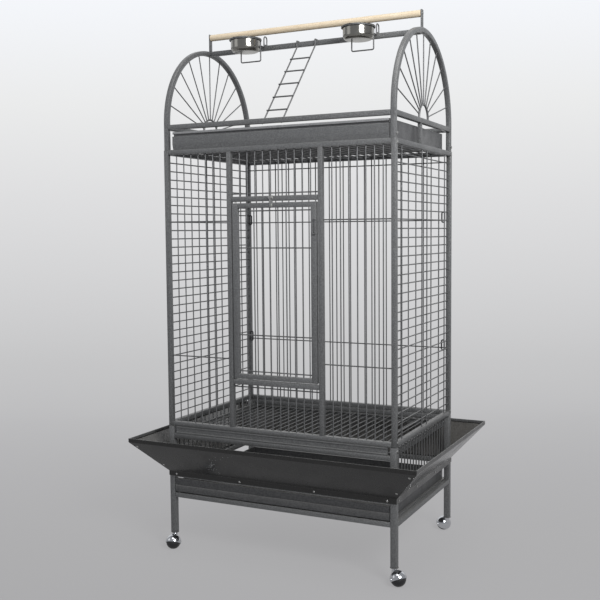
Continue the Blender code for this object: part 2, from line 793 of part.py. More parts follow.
def make_roof():
    """The top rails of the front and back, with wires between them."""
    across = (-IN_X + SEAT, IN_X - SEAT)
    z = (CAGE_TOP - POST, CAGE_TOP)
    rails = block_mesh("roof_rails", [(across, (FRONT, -IN_Y), z), (across, (IN_Y, HALF_D), z)])
    reach = IN_Y + WELD
    middle = CAGE_TOP - POST / 2
    runs = [[(x, y, middle) for y in (-reach, reach)] for x in spaced(-IN_X, IN_X, ACROSS_GAPS - 1)]
    weld("roof_panel", "hammered_coat", rails, bar_mesh("roof_wires", runs))


def make_front():
    """Bottom rail, a post with its wires on each side of the door, and the wired sill and header."""
    y = (FRONT, FRONT + POST)
    low = STAND_TOP + POST + SEAT
    high = CAGE_TOP - POST - SEAT
    block("front_rail", "hammered_coat", (-IN_X + SEAT, IN_X - SEAT), y, (STAND_TOP + SEAT, STAND_TOP + POST))
    behind = -POST_Y + CROSSING * BAR_RADIUS
    for side, sign in (("left", -1), ("right", 1)):
        post = block_mesh(f"door_post_{side}", [(sorted((sign * MID_IN, sign * MID_OUT)), y, (low, high))])
        upright = [[(sign * x, -POST_Y, z) for z in (low, high)] for x in spaced(MID_OUT, IN_X, SECTION_BARS)]
        ends = (sign * (MID_OUT - WELD), sign * (IN_X - SEAT))
        cross = [[(x, behind, STAND_TOP + above) for x in ends] for above in (CROSS_LOW, CROSS_HIGH)]
        weld(f"front_panel_{side}", "hammered_coat", post, bar_mesh(f"front_cross_{side}", cross),
             bar_mesh(f"front_uprights_{side}", upright))
    between = (-MID_IN + SEAT, MID_IN - SEAT)
    places = spaced(-MID_IN, MID_IN, TRANSOM_BARS)
    for name, z, ends in (("door_sill", SILL_Z, (low, SILL_Z + WELD)),
                          ("door_header", HEADER_Z, (HEADER_Z + POST - WELD, high))):
        rail = block_mesh(f"{name}_rail", [(between, y, (z, z + POST))])
        runs = [[(x, -POST_Y, end) for end in ends] for x in places]
        weld(name, "hammered_coat", rail, bar_mesh(f"{name}_wires", runs))


# Door

def make_door():
    """A welded frame with its wires, turning on pins in the ends of its left stile."""
    inner = DOOR_HALF - DOOR_STILE
    low = DOOR_LOW + RAIL
    high = DOOR_HIGH - RAIL
    frame = outline_mesh("door_frame", [rectangle((-DOOR_HALF, DOOR_HALF), (DOOR_LOW, DOOR_HIGH)),
                                        rectangle((-inner, inner), (low, high))],
                         DOOR_THICK / 2, Matrix.Translation((0, HINGE_Y, 0)) @ FRONT_PLANE)
    bar_y = HINGE_Y - BAR_RADIUS
    cross_y = bar_y + 2 * BAR_RADIUS + SEAT
    reach = inner + WELD
    runs = [[(x, bar_y, z) for z in (low - WELD, high + WELD)] for x in spaced(-inner, inner, DOOR_BARS)]
    runs += [[(x, cross_y, z) for x in (-reach, reach)]
             for z in (DOOR_LOW + DOOR_CROSS_INSET, DOOR_HIGH - DOOR_CROSS_INSET)]
    door = weld("door", "hammered_coat", frame, bar_mesh("door_wires", runs))
    set_origin(door, (HINGE_X, HINGE_Y, DOOR_LOW))
    axis = Vector((HINGE_X, HINGE_Y, 0))
    bore = PIN_RADIUS + PIN_CLEAR
    deep = PIN_LENGTH + PIN_CLEAR
    drill(door, "door_bore_low", axis + UP * (DOOR_LOW - DOOR_FOOT_CLEAR), axis + UP * (DOOR_LOW + deep), bore)
    drill(door, "door_bore_high", axis + UP * (DOOR_HIGH - deep), axis + UP * (DOOR_HIGH + DOOR_TOP_CLEAR), bore)
    return door


def make_hinge_pins():
    """A stepped pin on the sill, which carries the door, and a plain one under the header."""
    sill_top = SILL_Z + POST + SEAT
    shoulder = DOOR_LOW - SEAT
    place = Matrix.Translation((HINGE_X, HINGE_Y, 0))
    low_pin = [(0, DOOR_LOW + PIN_LENGTH), (PIN_RADIUS, DOOR_LOW + PIN_LENGTH), (PIN_RADIUS, shoulder),
               (PIN_SHOULDER, shoulder), (PIN_SHOULDER, sill_top), (0, sill_top)]
    turned("hinge_pin_low", "zinc", low_pin, 12, place)
    header = HEADER_Z - SEAT
    high_pin = [(0, header), (PIN_RADIUS, header), (PIN_RADIUS, DOOR_HIGH - PIN_LENGTH), (0, DOOR_HIGH - PIN_LENGTH)]
    turned("hinge_pin_high", "zinc", high_pin, 12, place)


def make_latch(door):
    """A bent wire hook that hangs from its pivot on the door's right stile."""
    pivot = Vector((DOOR_HALF - LATCH_INSET, FRONT - SEAT - LATCH_RADIUS, DOOR_HIGH - LATCH_BELOW_TOP))
    foot = pivot - UP * LATCH_SHANK
    run = [pivot + UP * LATCH_RADIUS, foot]
    for number in range(1, 7):
        angle = pi * number / 6
        run.append(foot - Vector((LATCH_HOOK_RADIUS * (1 - cos(angle)), 0, LATCH_HOOK_RADIUS * sin(angle))))
    run.append(run[-1] + UP * LATCH_HOOK_RADIUS)
    latch = add_object("door_latch", wire_curve("door_latch", [run], LATCH_RADIUS), "zinc")
    set_origin(latch, pivot)
    ride(latch, door)


def make_turn_button(door):
    """A flat bar on the door's top rail, with a knob at its end over the header."""
    y = (FRONT - SEAT - BUTTON_THICK, FRONT - SEAT)
    pivot = Vector((BUTTON_X, y[0], DOOR_HIGH - RAIL / 2))
    half = BUTTON_WIDTH / 2
    bar = block_mesh("button_bar", [((BUTTON_X - half, BUTTON_X + half), y,
                                     (pivot.z - BUTTON_TAIL, pivot.z + BUTTON_REACH))])
    middle = pivot + UP * (BUTTON_REACH - KNOB_RADIUS)
    knob = rod_mesh("knob", middle + Vector((0, WELD, 0)), middle - Vector((0, KNOB_HEIGHT, 0)),
                    KNOB_NECK, 14, KNOB_RADIUS)
    button = weld("turn_button", "zinc", bar, knob)
    set_origin(button, pivot)
    ride(button, door)


# Play top

def make_rim():
    """The front and back rails of the rim, between the arches' legs."""
    across = (-ARCH_IN_X + SEAT, ARCH_IN_X - SEAT)
    block("rim_rail_front", "hammered_coat", across, (FRONT, -RIM_IN_Y), (RIM_Z, RIM_TOP))
    block("rim_rail_back", "hammered_coat", across, (RIM_IN_Y, HALF_D), (RIM_Z, RIM_TOP))


def make_pan():
    """Pull-out pan on top of the cage: a sheet tray with a front lip over a plate folded back at its foot."""
    left, right = -IN_X + PAN_LEFT_CLEAR, IN_X - PAN_RIGHT_CLEAR
    low = CAGE_TOP + SLIDE
    front_y = FRONT + PAN_FRONT_THICK + SEAT
    pan = open_box("play_top_pan", "tray_sheet", (left, right), (front_y, PAN_REAR_Y), (low, low + PAN_HEIGHT), PAN_WALL)
    lip = block_mesh("pan_lip", [((left, right), (FRONT + PAN_LIP_BACK, front_y + PAN_WALL / 2),
                                  (low + PAN_HEIGHT - PAN_LIP_HEIGHT, low + PAN_HEIGHT))])
    tool = bpy.data.objects.new("pan_lip", lip)
    CUTTERS.objects.link(tool)
    tool.hide_render = True
    combine(pan, tool, "UNION")
    outline = [(-PAN_FOLD_IN, low), (0, low + PAN_FOLD_ABOVE), (0, low + PAN_FRONT_HEIGHT),
               (-PAN_FRONT_THICK, low + PAN_FRONT_HEIGHT), (-PAN_FRONT_THICK, low)]
    place = Matrix.Translation(((left + right) / 2, 0, 0)) @ face_frame("front", HALF_D)
    front = prism("pan_front", "hammered_coat", outline, (right - left) / 2, place)
    ride(front, pan)


def arch_outline():
    """Two legs and half a circle of square tube, seen from the side: distance along Y and height."""
    foot = CAGE_TOP + SEAT
    outline = [(-HALF_D, foot)]
    for radius, turn in ((HALF_D, 1), (RIM_IN_Y, -1)):
        for number in range(ARCH_STEPS + 1):
            angle = pi * number / ARCH_STEPS
            outline.append((-turn * radius * cos(angle), ARCH_CENTRE_Z + radius * sin(angle)))
        outline.append((turn * radius, foot))
        if turn == 1:
            outline.append((RIM_IN_Y, foot))
    return outline


def fan_reach(angle, rise, radius):
    """How far from the fan's middle a spoke meets a circle whose own middle is higher by rise."""
    return rise * cos(angle) + sqrt(radius ** 2 - (rise * sin(angle)) ** 2)


def make_arch(side):
    """A welded side of the play top: bent tube, side rail on its strut, hub ring and spokes."""
    x = POST_X if side == "right" else -POST_X
    tube = outline_mesh(f"arch_tube_{side}", [arch_outline()], RIM_TUBE / 2, Matrix.Translation((x, 0, 0)) @ SIDE_PLANE)
    thick = (x - RIM_TUBE / 2, x + RIM_TUBE / 2)
    reach = RIM_IN_Y + WELD
    rail = block_mesh(f"rim_rail_{side}", [(thick, (-reach, reach), (RIM_Z, RIM_TOP))])
    strut = block_mesh(f"rim_strut_{side}", [((x - STRUT / 2, x + STRUT / 2), (STRUT_Y - STRUT / 2, STRUT_Y + STRUT / 2),
                                             (CAGE_TOP + SEAT, RIM_Z + WELD))])
    hub = [(x, -HUB_RADIUS, RIM_TOP - WELD)]
    for number in range(HUB_STEPS + 1):
        angle = pi * number / HUB_STEPS
        hub.append((x, -HUB_RADIUS * cos(angle), RIM_TOP + HUB_LEG + HUB_RADIUS * sin(angle)))
    hub.append((x, HUB_RADIUS, RIM_TOP - WELD))
    spokes = []
    for number in range(-SPOKES_EACH_SIDE, SPOKES_EACH_SIDE + 1):
        angle = radians(SPOKE_STEP * number)
        ends = (fan_reach(angle, HUB_LEG, HUB_RADIUS), fan_reach(angle, ARCH_CENTRE_Z - RIM_TOP, RIM_IN_Y + 2 * WELD))
        spokes.append([(x, end * sin(angle), RIM_TOP + end * cos(angle)) for end in ends])
    weld(f"arch_{side}", "hammered_coat", tube, rail, strut, wire_mesh(f"hub_{side}", [hub], HUB_WIRE),
         bar_mesh(f"spokes_{side}", spokes))


def make_top_rail_and_perch():
    """The rail between the arches, and the wooden perch over it between two short posts."""
    half = RIM_TUBE / 2
    end = ARCH_IN_X - SEAT
    block("top_rail", "hammered_coat", (-end, end), (-half, half), (TOP_RAIL_Z - half, TOP_RAIL_Z + half))
    for side, x in (("left", -ARCH_IN_X - PERCH_POST_THICK), ("right", ARCH_IN_X)):
        block(f"perch_post_{side}", "hammered_coat", (x, x + PERCH_POST_THICK),
              (-PERCH_POST_WIDTH / 2, PERCH_POST_WIDTH / 2), (ARCH_TOP + SEAT, ARCH_TOP + PERCH_POST_RISE))
    dowel = rod_mesh("perch_dowel", (-end, 0, PERCH_Z), (end, 0, PERCH_Z), PERCH_RADIUS, 20)
    smooth(dowel)
    add_object("perch_dowel", dowel, "pale_wood")


def make_ladder():
    """Two wires hooked over the top rail, with rungs, leaning on the inside of the front rim rail."""
    stand_off = LADDER_RADIUS + SEAT
    top = Vector((0, -(RIM_TUBE / 2 + stand_off), TOP_RAIL_Z - LADDER_NECK))
    foot = Vector((0, -(RIM_IN_Y - stand_off), RIM_TOP - LADDER_FOOT_BELOW))
    slope = (foot - top).normalized()
    outward = Vector((0, slope.z, -slope.y))
    hook_z = ARCH_TOP + stand_off
    corners = [foot, top, Vector((0, top.y, hook_z)), Vector((0, -top.y, hook_z)),
               Vector((0, -top.y, TOP_RAIL_Z - RIM_TUBE / 4))]
    side = rounded(corners, [LADDER_BEND, stand_off, stand_off])
    sides = [[point + Vector((x, 0, 0)) for point in side] for x in (LADDER_LEFT, LADDER_RIGHT)]
    rungs = []
    for number in range(RUNGS):
        middle = top + slope * (FIRST_RUNG + number * RUNG_SPACING) + outward * (CROSSING * LADDER_RADIUS)
        rungs.append([middle + Vector((LADDER_LEFT - RUNG_OVERHANG, 0, 0)),
                      middle + Vector((LADDER_RIGHT + RUNG_OVERHANG, 0, 0))])
    ladder = weld("ladder", "hammered_coat", wire_mesh("ladder_sides", sides, LADDER_RADIUS),
                  bar_mesh("ladder_rungs", rungs, LADDER_RADIUS))
    set_origin(ladder, (0, 0, TOP_RAIL_Z))


# Feeding bowls

def make_bowl_holder(side, x):
    """A wire ring whose ends turn down into a brace, and two tall hooks with cross wires on the top rail."""
    open_angle = asin(RING_HALF_OPEN / RING_RADIUS)
    back_y = -BOWL_OUT + RING_RADIUS * cos(open_angle)
    low_z = RING_Z - BRACE_DROP
    steps = 16
    path = [Vector((x, back_y, low_z)), Vector((x + RING_HALF_OPEN, back_y, low_z))]
    for number in range(steps + 1):
        angle = open_angle + 2 * (pi - open_angle) * number / steps
        path.append(Vector((x + RING_RADIUS * sin(angle), -BOWL_OUT + RING_RADIUS * cos(angle), RING_Z)))
    path += [Vector((x - RING_HALF_OPEN, back_y, low_z)), Vector((x, back_y, low_z))]
    bends = [BRACE_BEND, BRACE_BEND] + [0.0] * (steps - 1) + [BRACE_BEND, BRACE_BEND]
    loop = rounded(path, bends)[:-1]
    rail_back = RIM_TUBE / 2 + RING_WIRE + SEAT
    arm_z, top_z = HOOK_Z - HOLDER_ARM_DROP, HOOK_Z + HOLDER_HOOK_RISE
    hooks, rests = [], []
    for hook_x in (x - RING_HALF_OPEN, x + RING_HALF_OPEN):
        corners = [(back_y, arm_z), (-rail_back, arm_z), (-rail_back, top_z), (rail_back, top_z),
                   (rail_back, HOOK_Z - HOLDER_HOOK_TAIL)]
        points = [Vector((hook_x, y, z)) for y, z in corners]
        hooks.append(rounded(points, [HOLDER_ARM_BEND, HOLDER_HOOK_BEND, HOLDER_HOOK_BEND]))
        rests.append([(hook_x, -rail_back, HOOK_Z), (hook_x, rail_back, HOOK_Z)])
    weld(f"bowl_holder_{side}", "hammered_coat", wire_mesh(f"bowl_ring_{side}", [], RING_WIRE, [loop]),
         wire_mesh(f"bowl_hooks_{side}", hooks, RING_WIRE), bar_mesh(f"bowl_rests_{side}", rests, RING_WIRE))


def bowl_side(wall, foot, depth, steps=4):
    """Points down the side of a bowl, from under its rim to its foot."""
    upright = depth * BOWL_STRAIGHT
    arc = []
    for number in range(steps + 1):
        angle = pi / 2 * number / steps
        arc.append((foot + (wall - foot) * cos(angle), -upright - (depth - upright) * sin(angle)))
    return [(wall, 0.0)] + arc


def make_bowl(side, x):
    """A pressed steel bowl whose rolled rim rests on its ring."""
    inner = bowl_side(BOWL_WALL_RADIUS - BOWL_SHEET, BOWL_FOOT_RADIUS - BOWL_SHEET, BOWL_DEPTH - BOWL_SHEET)
    outer = bowl_side(BOWL_WALL_RADIUS, BOWL_FOOT_RADIUS, BOWL_DEPTH)
    rim = [(BOWL_WALL_RADIUS - BOWL_SHEET, 2 * BOWL_SHEET), (BOWL_RIM - BOWL_SHEET, 2 * BOWL_SHEET),
           (BOWL_RIM, BOWL_SHEET), (BOWL_RIM, 0.0)]
    profile = [(0.0, inner[-1][1])] + inner[:0:-1] + rim + outer + [(0.0, -BOWL_DEPTH)]
    place = Matrix.Translation((x, -BOWL_OUT, RING_Z + RING_WIRE + SEAT))
    turned(f"bowl_{side}", "stainless", profile, BOWL_STEPS, place)


def build():
    """Make every sub-part, from the floor up."""
    make_casters()
    make_legs()
    make_stand_rails()
    make_grate_runners()
    make_skirts()
    for side in OUTWARD:
        make_guard(side, HALF_W if side in ("front", "back") else HALF_D)
    make_waste_tray()
    make_grate()
    for side, sign in (("left", -1), ("right", 1)):
        make_side_panel(side, sign)
    make_back_panel()
    make_roof()
    make_front()
    make_hinge_pins()
    door = make_door()
    make_latch(door)
    make_turn_button(door)
    make_rim()
    make_pan()
    for side in ("left", "right"):
        make_arch(side)
    make_top_rail_and_perch()
    make_ladder()
    for side, x in zip(("left", "right"), BOWL_X):
        make_bowl_holder(side, x)
        make_bowl(side, x)


build()
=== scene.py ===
"""Play-top parrot cage on a wheeled stand, in a plain pale studio."""
from math import asin, cos, pi, radians, sin, sqrt, tan

import bmesh
import bpy
from mathutils import Matrix, Vector


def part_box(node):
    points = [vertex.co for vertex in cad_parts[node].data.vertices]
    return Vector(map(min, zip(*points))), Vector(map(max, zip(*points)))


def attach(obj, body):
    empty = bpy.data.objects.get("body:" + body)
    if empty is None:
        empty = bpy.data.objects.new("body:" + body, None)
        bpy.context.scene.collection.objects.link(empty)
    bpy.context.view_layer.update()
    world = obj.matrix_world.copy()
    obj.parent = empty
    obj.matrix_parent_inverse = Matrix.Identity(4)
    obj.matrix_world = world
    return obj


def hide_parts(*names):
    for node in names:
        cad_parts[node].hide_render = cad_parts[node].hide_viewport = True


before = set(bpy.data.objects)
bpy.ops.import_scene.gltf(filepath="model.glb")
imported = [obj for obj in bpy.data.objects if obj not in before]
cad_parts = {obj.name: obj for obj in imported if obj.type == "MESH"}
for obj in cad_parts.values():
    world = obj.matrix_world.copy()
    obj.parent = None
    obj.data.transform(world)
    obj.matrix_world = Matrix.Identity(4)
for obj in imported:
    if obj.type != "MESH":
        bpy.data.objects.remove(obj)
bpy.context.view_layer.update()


# Camera
# The cage is photographed from its front right, from about chest height, with a short telephoto lens.
# The numbers are where the camera stood and how it was turned.
camera_data = bpy.data.cameras.new("studio_camera")
camera_data.lens = 54.45
camera_data.sensor_width = 36.0
camera_data.clip_end = 60.0
camera = bpy.data.objects.new("studio_camera", camera_data)
bpy.context.scene.collection.objects.link(camera)
turned_by, tipped_by, rolled_by = radians(26.19), radians(4.26), radians(-0.49)
ahead = Vector((-sin(turned_by) * cos(tipped_by), cos(turned_by) * cos(tipped_by), -sin(tipped_by)))
level = ahead.cross(Vector((0, 0, 1))).normalized()
upright = level.cross(ahead)
camera_right = level * cos(rolled_by) + upright * sin(rolled_by)
camera_up = upright * cos(rolled_by) - level * sin(rolled_by)
camera.matrix_world = Matrix.Translation((1.3294, -2.7986, 1.066)) @ Matrix(
    (camera_right, camera_up, -ahead)).transposed().to_4x4()
bpy.context.scene.camera = camera


# Casters
# Swivel ball casters: a hard black nylon ball turns on an axle in a chromed pressed hood, and the
# hood's stem turns in a bore in the leg. The hood is cut on a slant, lower beside the stem, so the ball
# shows under its trailing side.
BALL = 0.024
HOOD = BALL + 0.0022
HOOD_SHEET = 0.001
TRAIL = 0.022
HOOD_TILT = Vector((-0.5, 0.0, 0.866))
HOOD_CUT = 0.0045
AXLE_BORE = 0.0029
GAP = 0.0003
DUST_GREY = (0.30, 0.29, 0.27)
NYLON_BLACK = (0.011, 0.011, 0.012)
COLLAR_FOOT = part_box("stand_leg_front_left")[0].z
SWIVELS = {"front_left": -73.0, "front_right": -37.7, "rear_left": 200.0, "rear_right": 141.0}
POST_X, POST_Y = 0.3965, 0.270
UP = Vector((0, 0, 1))


def link(node_tree, source, target):
    """Join two sockets of a node tree."""
    node_tree.links.new(source, target)


def plain_material(name, colour, roughness, metallic):
    """A Principled material with its fixed values on the shader."""
    made = bpy.data.materials.new(name)
    made.use_nodes = True
    shader = made.node_tree.nodes["Principled BSDF"]
    shader.inputs["Base Color"].default_value = (*colour, 1.0)
    shader.inputs["Roughness"].default_value = roughness
    shader.inputs["Metallic"].default_value = metallic
    return made, made.node_tree, shader


def new_group(name, inputs, outputs):
    """An empty shader node group with float sockets in and out."""
    tree = bpy.data.node_groups.new(name, "ShaderNodeTree")
    for label, value in inputs:
        tree.interface.new_socket(label, in_out="INPUT", socket_type="NodeSocketFloat").default_value = value
    for label in outputs:
        tree.interface.new_socket(label, in_out="OUTPUT", socket_type="NodeSocketFloat")
    return tree, tree.nodes.new("NodeGroupInput"), tree.nodes.new("NodeGroupOutput")


def calculate(tree, operation, first, second):
    """A Math node on sockets or numbers, giving its output."""
    made = tree.nodes.new("ShaderNodeMath")
    made.operation = operation
    for socket, value in zip(made.inputs, (first, second)):
        if isinstance(value, (int, float)):
            socket.default_value = value
        else:
            link(tree, value, socket)
    return made.outputs[0]


def noise_at(tree, place, scale, detail=3.0, roughness=0.55):
    """A Noise texture on a place, with its scale a number or a socket."""
    made = tree.nodes.new("ShaderNodeTexNoise")
    made.inputs["Detail"].default_value = detail
    made.inputs["Roughness"].default_value = roughness
    link(tree, place, made.inputs["Vector"])
    if isinstance(scale, (int, float)):
        made.inputs["Scale"].default_value = scale
    else:
        link(tree, scale, made.inputs["Scale"])
    return made.outputs["Fac"]


# Handling marks: cloudy patches of grease and fine dust, thicker where the surface faces up
handling, handling_in, handling_out = new_group("handling_marks", [("Patch Scale", 14.0), ("Dust", 0.5)],
                                                ["Smears", "Dust"])
where = handling.nodes.new("ShaderNodeTexCoord").outputs["Object"]
smears = noise_at(handling, where, handling_in.outputs["Patch Scale"], 5.0, 0.62)
link(handling, smears, handling_out.inputs["Smears"])
facing = handling.nodes.new("ShaderNodeSeparateXYZ")
link(handling, handling.nodes.new("ShaderNodeNewGeometry").outputs["Normal"], facing.inputs[0])
grit = noise_at(handling, where, 420.0, 2.0, 0.7)
settled = calculate(handling, "MULTIPLY", calculate(handling, "MAXIMUM", facing.outputs["Z"], 0.0), grit)
dusty = calculate(handling, "MULTIPLY", settled, handling_in.outputs["Dust"])
link(handling, dusty, handling_out.inputs["Dust"])


def add_group(tree, group, **values):
    """Place a node group with its own values."""
    made = tree.nodes.new("ShaderNodeGroup")
    made.node_tree = group
    for label, value in values.items():
        made.inputs[label.replace("_", " ")].default_value = value
    return made


def blend_colour(tree, factor, first, second):
    """Mix two colours by a factor, giving the output."""
    made = tree.nodes.new("ShaderNodeMix")
    made.data_type = "RGBA"
    link(tree, factor, made.inputs[0])
    for socket, value in ((made.inputs[6], first), (made.inputs[7], second)):
        if isinstance(value, tuple):
            socket.default_value = (*value, 1.0)
        else:
            link(tree, value, socket)
    return made.outputs[2]


def spread(tree, value, low, high, start=0.3, stop=0.7):
    """Map a mask from start..stop to low..high."""
    made = tree.nodes.new("ShaderNodeMapRange")
    made.inputs["From Min"].default_value = start
    made.inputs["From Max"].default_value = stop
    made.inputs["To Min"].default_value = low
    made.inputs["To Max"].default_value = high
    link(tree, value, made.inputs["Value"])
    return made.outputs["Result"]


def press(tree, shader, height, depth, strength=1.0):
    """Feed a height into the shader's normal."""
    bump = tree.nodes.new("ShaderNodeBump")
    bump.inputs["Strength"].default_value = strength
    bump.inputs["Distance"].default_value = depth
    link(tree, height, bump.inputs["Height"])
    link(tree, bump.outputs["Normal"], shader.inputs["Normal"])


def wear(tree, shader, marks, clean, dusted, smooth_at, rough_at):
    """Dust a clean colour with the handling marks, and let their smears change the roughness."""
    link(tree, blend_colour(tree, marks.outputs["Dust"], clean, dusted), shader.inputs["Base Color"])
    link(tree, spread(tree, marks.outputs["Smears"], smooth_at, rough_at), shader.inputs["Roughness"])


def bright_metal(name, colour, tint, smooth_at, rough_at):
    """Plated or polished metal with cloudy smears and a little dust."""
    made, tree, shader = plain_material(name, colour, smooth_at, 1.0)
    marks = add_group(tree, handling, Patch_Scale=60.0, Dust=0.35)
    wear(tree, shader, marks, colour, tint, smooth_at, rough_at)
    press(tree, shader, marks.outputs["Smears"], 0.00008)
    return made


chrome = bright_metal("chrome_plate", (0.62, 0.63, 0.65), (0.40, 0.40, 0.39), 0.06, 0.20)
zinc = bright_metal("zinc_plate", (0.42, 0.42, 0.41), DUST_GREY, 0.26, 0.46)

nylon, nylon_tree, nylon_shader = plain_material("black_nylon", NYLON_BLACK, 0.35, 0.0)
nylon_marks = add_group(nylon_tree, handling, Patch_Scale=90.0, Dust=0.8)
wear(nylon_tree, nylon_shader, nylon_marks, NYLON_BLACK, (0.10, 0.10, 0.10), 0.28, 0.52)
press(nylon_tree, nylon_shader, nylon_marks.outputs["Smears"], 0.0001)


def add_piece(name, shape, material, body, *nodes, slot, sharp=38.0):
    """Make a piece of a mesh in world coordinates: it rides on its body and stands for these nodes."""
    bmesh.ops.remove_doubles(shape, verts=shape.verts, dist=0.000002)
    bmesh.ops.recalc_face_normals(shape, faces=shape.faces)
    data = bpy.data.meshes.new(name)
    shape.to_mesh(data)
    shape.free()
    data.shade_smooth()
    data.set_sharp_from_angle(angle=radians(sharp))
    data.materials.append(material)
    piece = bpy.data.objects.new(name, data)
    bpy.context.scene.collection.objects.link(piece)
    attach(piece, body)
    if nodes:
        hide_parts(*nodes)


def add_round(shape, start, stop, radius, sides=10, far_radius=None):
    """A straight round bar or a cone between two points."""
    start, stop = Vector(start), Vector(stop)
    along = stop - start
    turn = along.to_track_quat("Z", "Y").to_matrix().to_4x4()
    bmesh.ops.create_cone(shape, cap_ends=True, segments=sides, radius1=radius,
                          radius2=radius if far_radius is None else far_radius, depth=along.length,
                          matrix=Matrix.Translation((start + stop) / 2) @ turn)


def add_turned(shape, profile, steps, place=Matrix.Identity(4)):
    """Turn an open (radius, height) profile about its Z axis."""
    rings = []
    for radius, height in profile:
        if radius < 0.00001:
            rings.append([shape.verts.new(place @ Vector((0, 0, height)))] * steps)
            continue
        rings.append([shape.verts.new(place @ Vector((radius * cos(2 * pi * step / steps),
                                                      radius * sin(2 * pi * step / steps), height)))
                      for step in range(steps)])
    for below, above in zip(rings, rings[1:]):
        for step in range(steps):
            after = (step + 1) % steps
            corners = [below[step], below[after], above[after], above[step]]
            kept = [corner for number, corner in enumerate(corners) if corner not in corners[:number]]
            if len(kept) > 2:
                shape.faces.new(kept)


for corner, turn in SWIVELS.items():
    centre = Vector((POST_X if "right" in corner else -POST_X, POST_Y if "rear" in corner else -POST_Y, 0))
    swivel = Matrix.Translation(centre) @ Matrix.Rotation(radians(turn), 4, "Z")
    middle = Vector((TRAIL, 0, BALL))

    hood = bmesh.new()
    for radius in (HOOD, HOOD - HOOD_SHEET):
        bmesh.ops.create_uvsphere(hood, u_segments=40, v_segments=26, radius=radius,
                                  matrix=Matrix.Translation(middle))
    bmesh.ops.bisect_plane(hood, geom=hood.verts[:] + hood.edges[:] + hood.faces[:],
                           plane_co=middle - HOOD_TILT * HOOD_CUT, plane_no=HOOD_TILT, clear_inner=True)
    bmesh.ops.bridge_loops(hood, edges=[edge for edge in hood.edges if edge.is_boundary])
    add_round(hood, UP * (BALL + HOOD * 0.35), UP * (COLLAR_FOOT - GAP), 0.0092, 20, 0.0075)
    add_round(hood, UP * (COLLAR_FOOT - 0.0014), UP * (COLLAR_FOOT - GAP), 0.0105, 24)
    for side in (-1, 1):
        outward = Vector((0, side, 0))
        add_round(hood, middle + outward * (HOOD - 0.002), middle + outward * (HOOD + 0.0007),
                  0.0042, 16, 0.0034)
    bmesh.ops.transform(hood, matrix=swivel, verts=hood.verts)
    add_piece(f"hood_{corner}", hood, chrome, f"swivel_{corner}", f"caster_hood_{corner}", slot="chrome",
              sharp=30.0)

    ball = bmesh.new()
    bore_end = sqrt(BALL ** 2 - AXLE_BORE ** 2)
    profile = [(AXLE_BORE, bore_end)]
    for step in range(1, 24):
        angle = pi / 2 - pi * step / 24
        groove = 0.0003 if step == 12 else 0.0
        profile.append(((BALL - groove) * cos(angle), (BALL - groove) * sin(angle)))
    profile.append((AXLE_BORE, -bore_end))
    on_axle = Matrix.Rotation(radians(-90), 4, "X")
    add_turned(ball, profile + [profile[0]], 32, swivel @ Matrix.Translation(middle) @ on_axle)
    add_piece(f"ball_{corner}", ball, nylon, f"ball_{corner}", f"caster_ball_{corner}", slot="black_nylon")


# Stand
# Square steel tube welded into two side frames and tied across, all in dark grey hammered powder
# coat: a semi-gloss coat that draws up into small dimples with paler flecks of metal between them.
HALF_W, HALF_D = 0.4065, 0.280
LEG_HALF = 0.010
IN_X, IN_Y = 0.3865, 0.260
TUBE = 0.016
TUBE_CORNER = 0.0018
WIRE = 0.002
ANGLE_SHEET = 0.0015
TRAY_SHELF, TRAY_WALL = (0.37325, 0.39125), (0.38975, 0.39125)
GRATE_WALL = (0.3847, 0.3862)

hammered, hammered_in, hammered_out = new_group("hammered_skin", [("Dimple Scale", 260.0)],
                                                ["Fleck", "Height"])
where = hammered.nodes.new("ShaderNodeTexCoord").outputs["Object"]
warp = noise_at(hammered, where, 90.0, 2.0)
shifted = hammered.nodes.new("ShaderNodeVectorMath")
shifted.operation = "MULTIPLY_ADD"
jitter = hammered.nodes.new("ShaderNodeCombineXYZ")
for axis in range(3):
    link(hammered, warp, jitter.inputs[axis])
link(hammered, jitter.outputs[0], shifted.inputs[0])
shifted.inputs[1].default_value = (0.004, 0.004, 0.004)
link(hammered, where, shifted.inputs[2])
dimple = hammered.nodes.new("ShaderNodeTexVoronoi")
dimple.feature = "SMOOTH_F1"
dimple.inputs["Smoothness"].default_value = 0.45
link(hammered, shifted.outputs[0], dimple.inputs["Vector"])
link(hammered, hammered_in.outputs["Dimple Scale"], dimple.inputs["Scale"])
link(hammered, dimple.outputs["Distance"], hammered_out.inputs["Height"])
vein = hammered.nodes.new("ShaderNodeMapRange")
vein.inputs["From Min"].default_value = 0.30
vein.inputs["From Max"].default_value = 0.62
link(hammered, dimple.outputs["Distance"], vein.inputs["Value"])
link(hammered, vein.outputs["Result"], hammered_out.inputs["Fleck"])


def powder_coat(name, dark, fleck, roughness, depth, dimple_scale=260.0, metallic=0.45, dust=0.5):
    """Hammered powder coat: dark dimples, metallic flecks between them, smears and a little dust."""
    made, tree, shader = plain_material(name, dark, roughness, metallic)
    skin = add_group(tree, hammered, Dimple_Scale=dimple_scale)
    marks = add_group(tree, handling, Patch_Scale=18.0, Dust=dust)
    coat = blend_colour(tree, skin.outputs["Fleck"], dark, fleck)
    aged = blend_colour(tree, spread(tree, marks.outputs["Smears"], 0.0, 0.22, 0.42, 0.75), coat,
                        tuple(value * 1.6 for value in dark))
    wear(tree, shader, marks, aged, DUST_GREY, roughness - 0.07, roughness + 0.13)
    press(tree, shader, skin.outputs["Height"], depth, 0.8)
    return made


tube_coat = powder_coat("hammered_coat", (0.098, 0.100, 0.101), (0.185, 0.188, 0.190), 0.38, 0.00020, 380.0)
wire_coat = powder_coat("wire_coat", (0.082, 0.083, 0.085), (0.150, 0.152, 0.155), 0.38, 0.00010, 500.0)


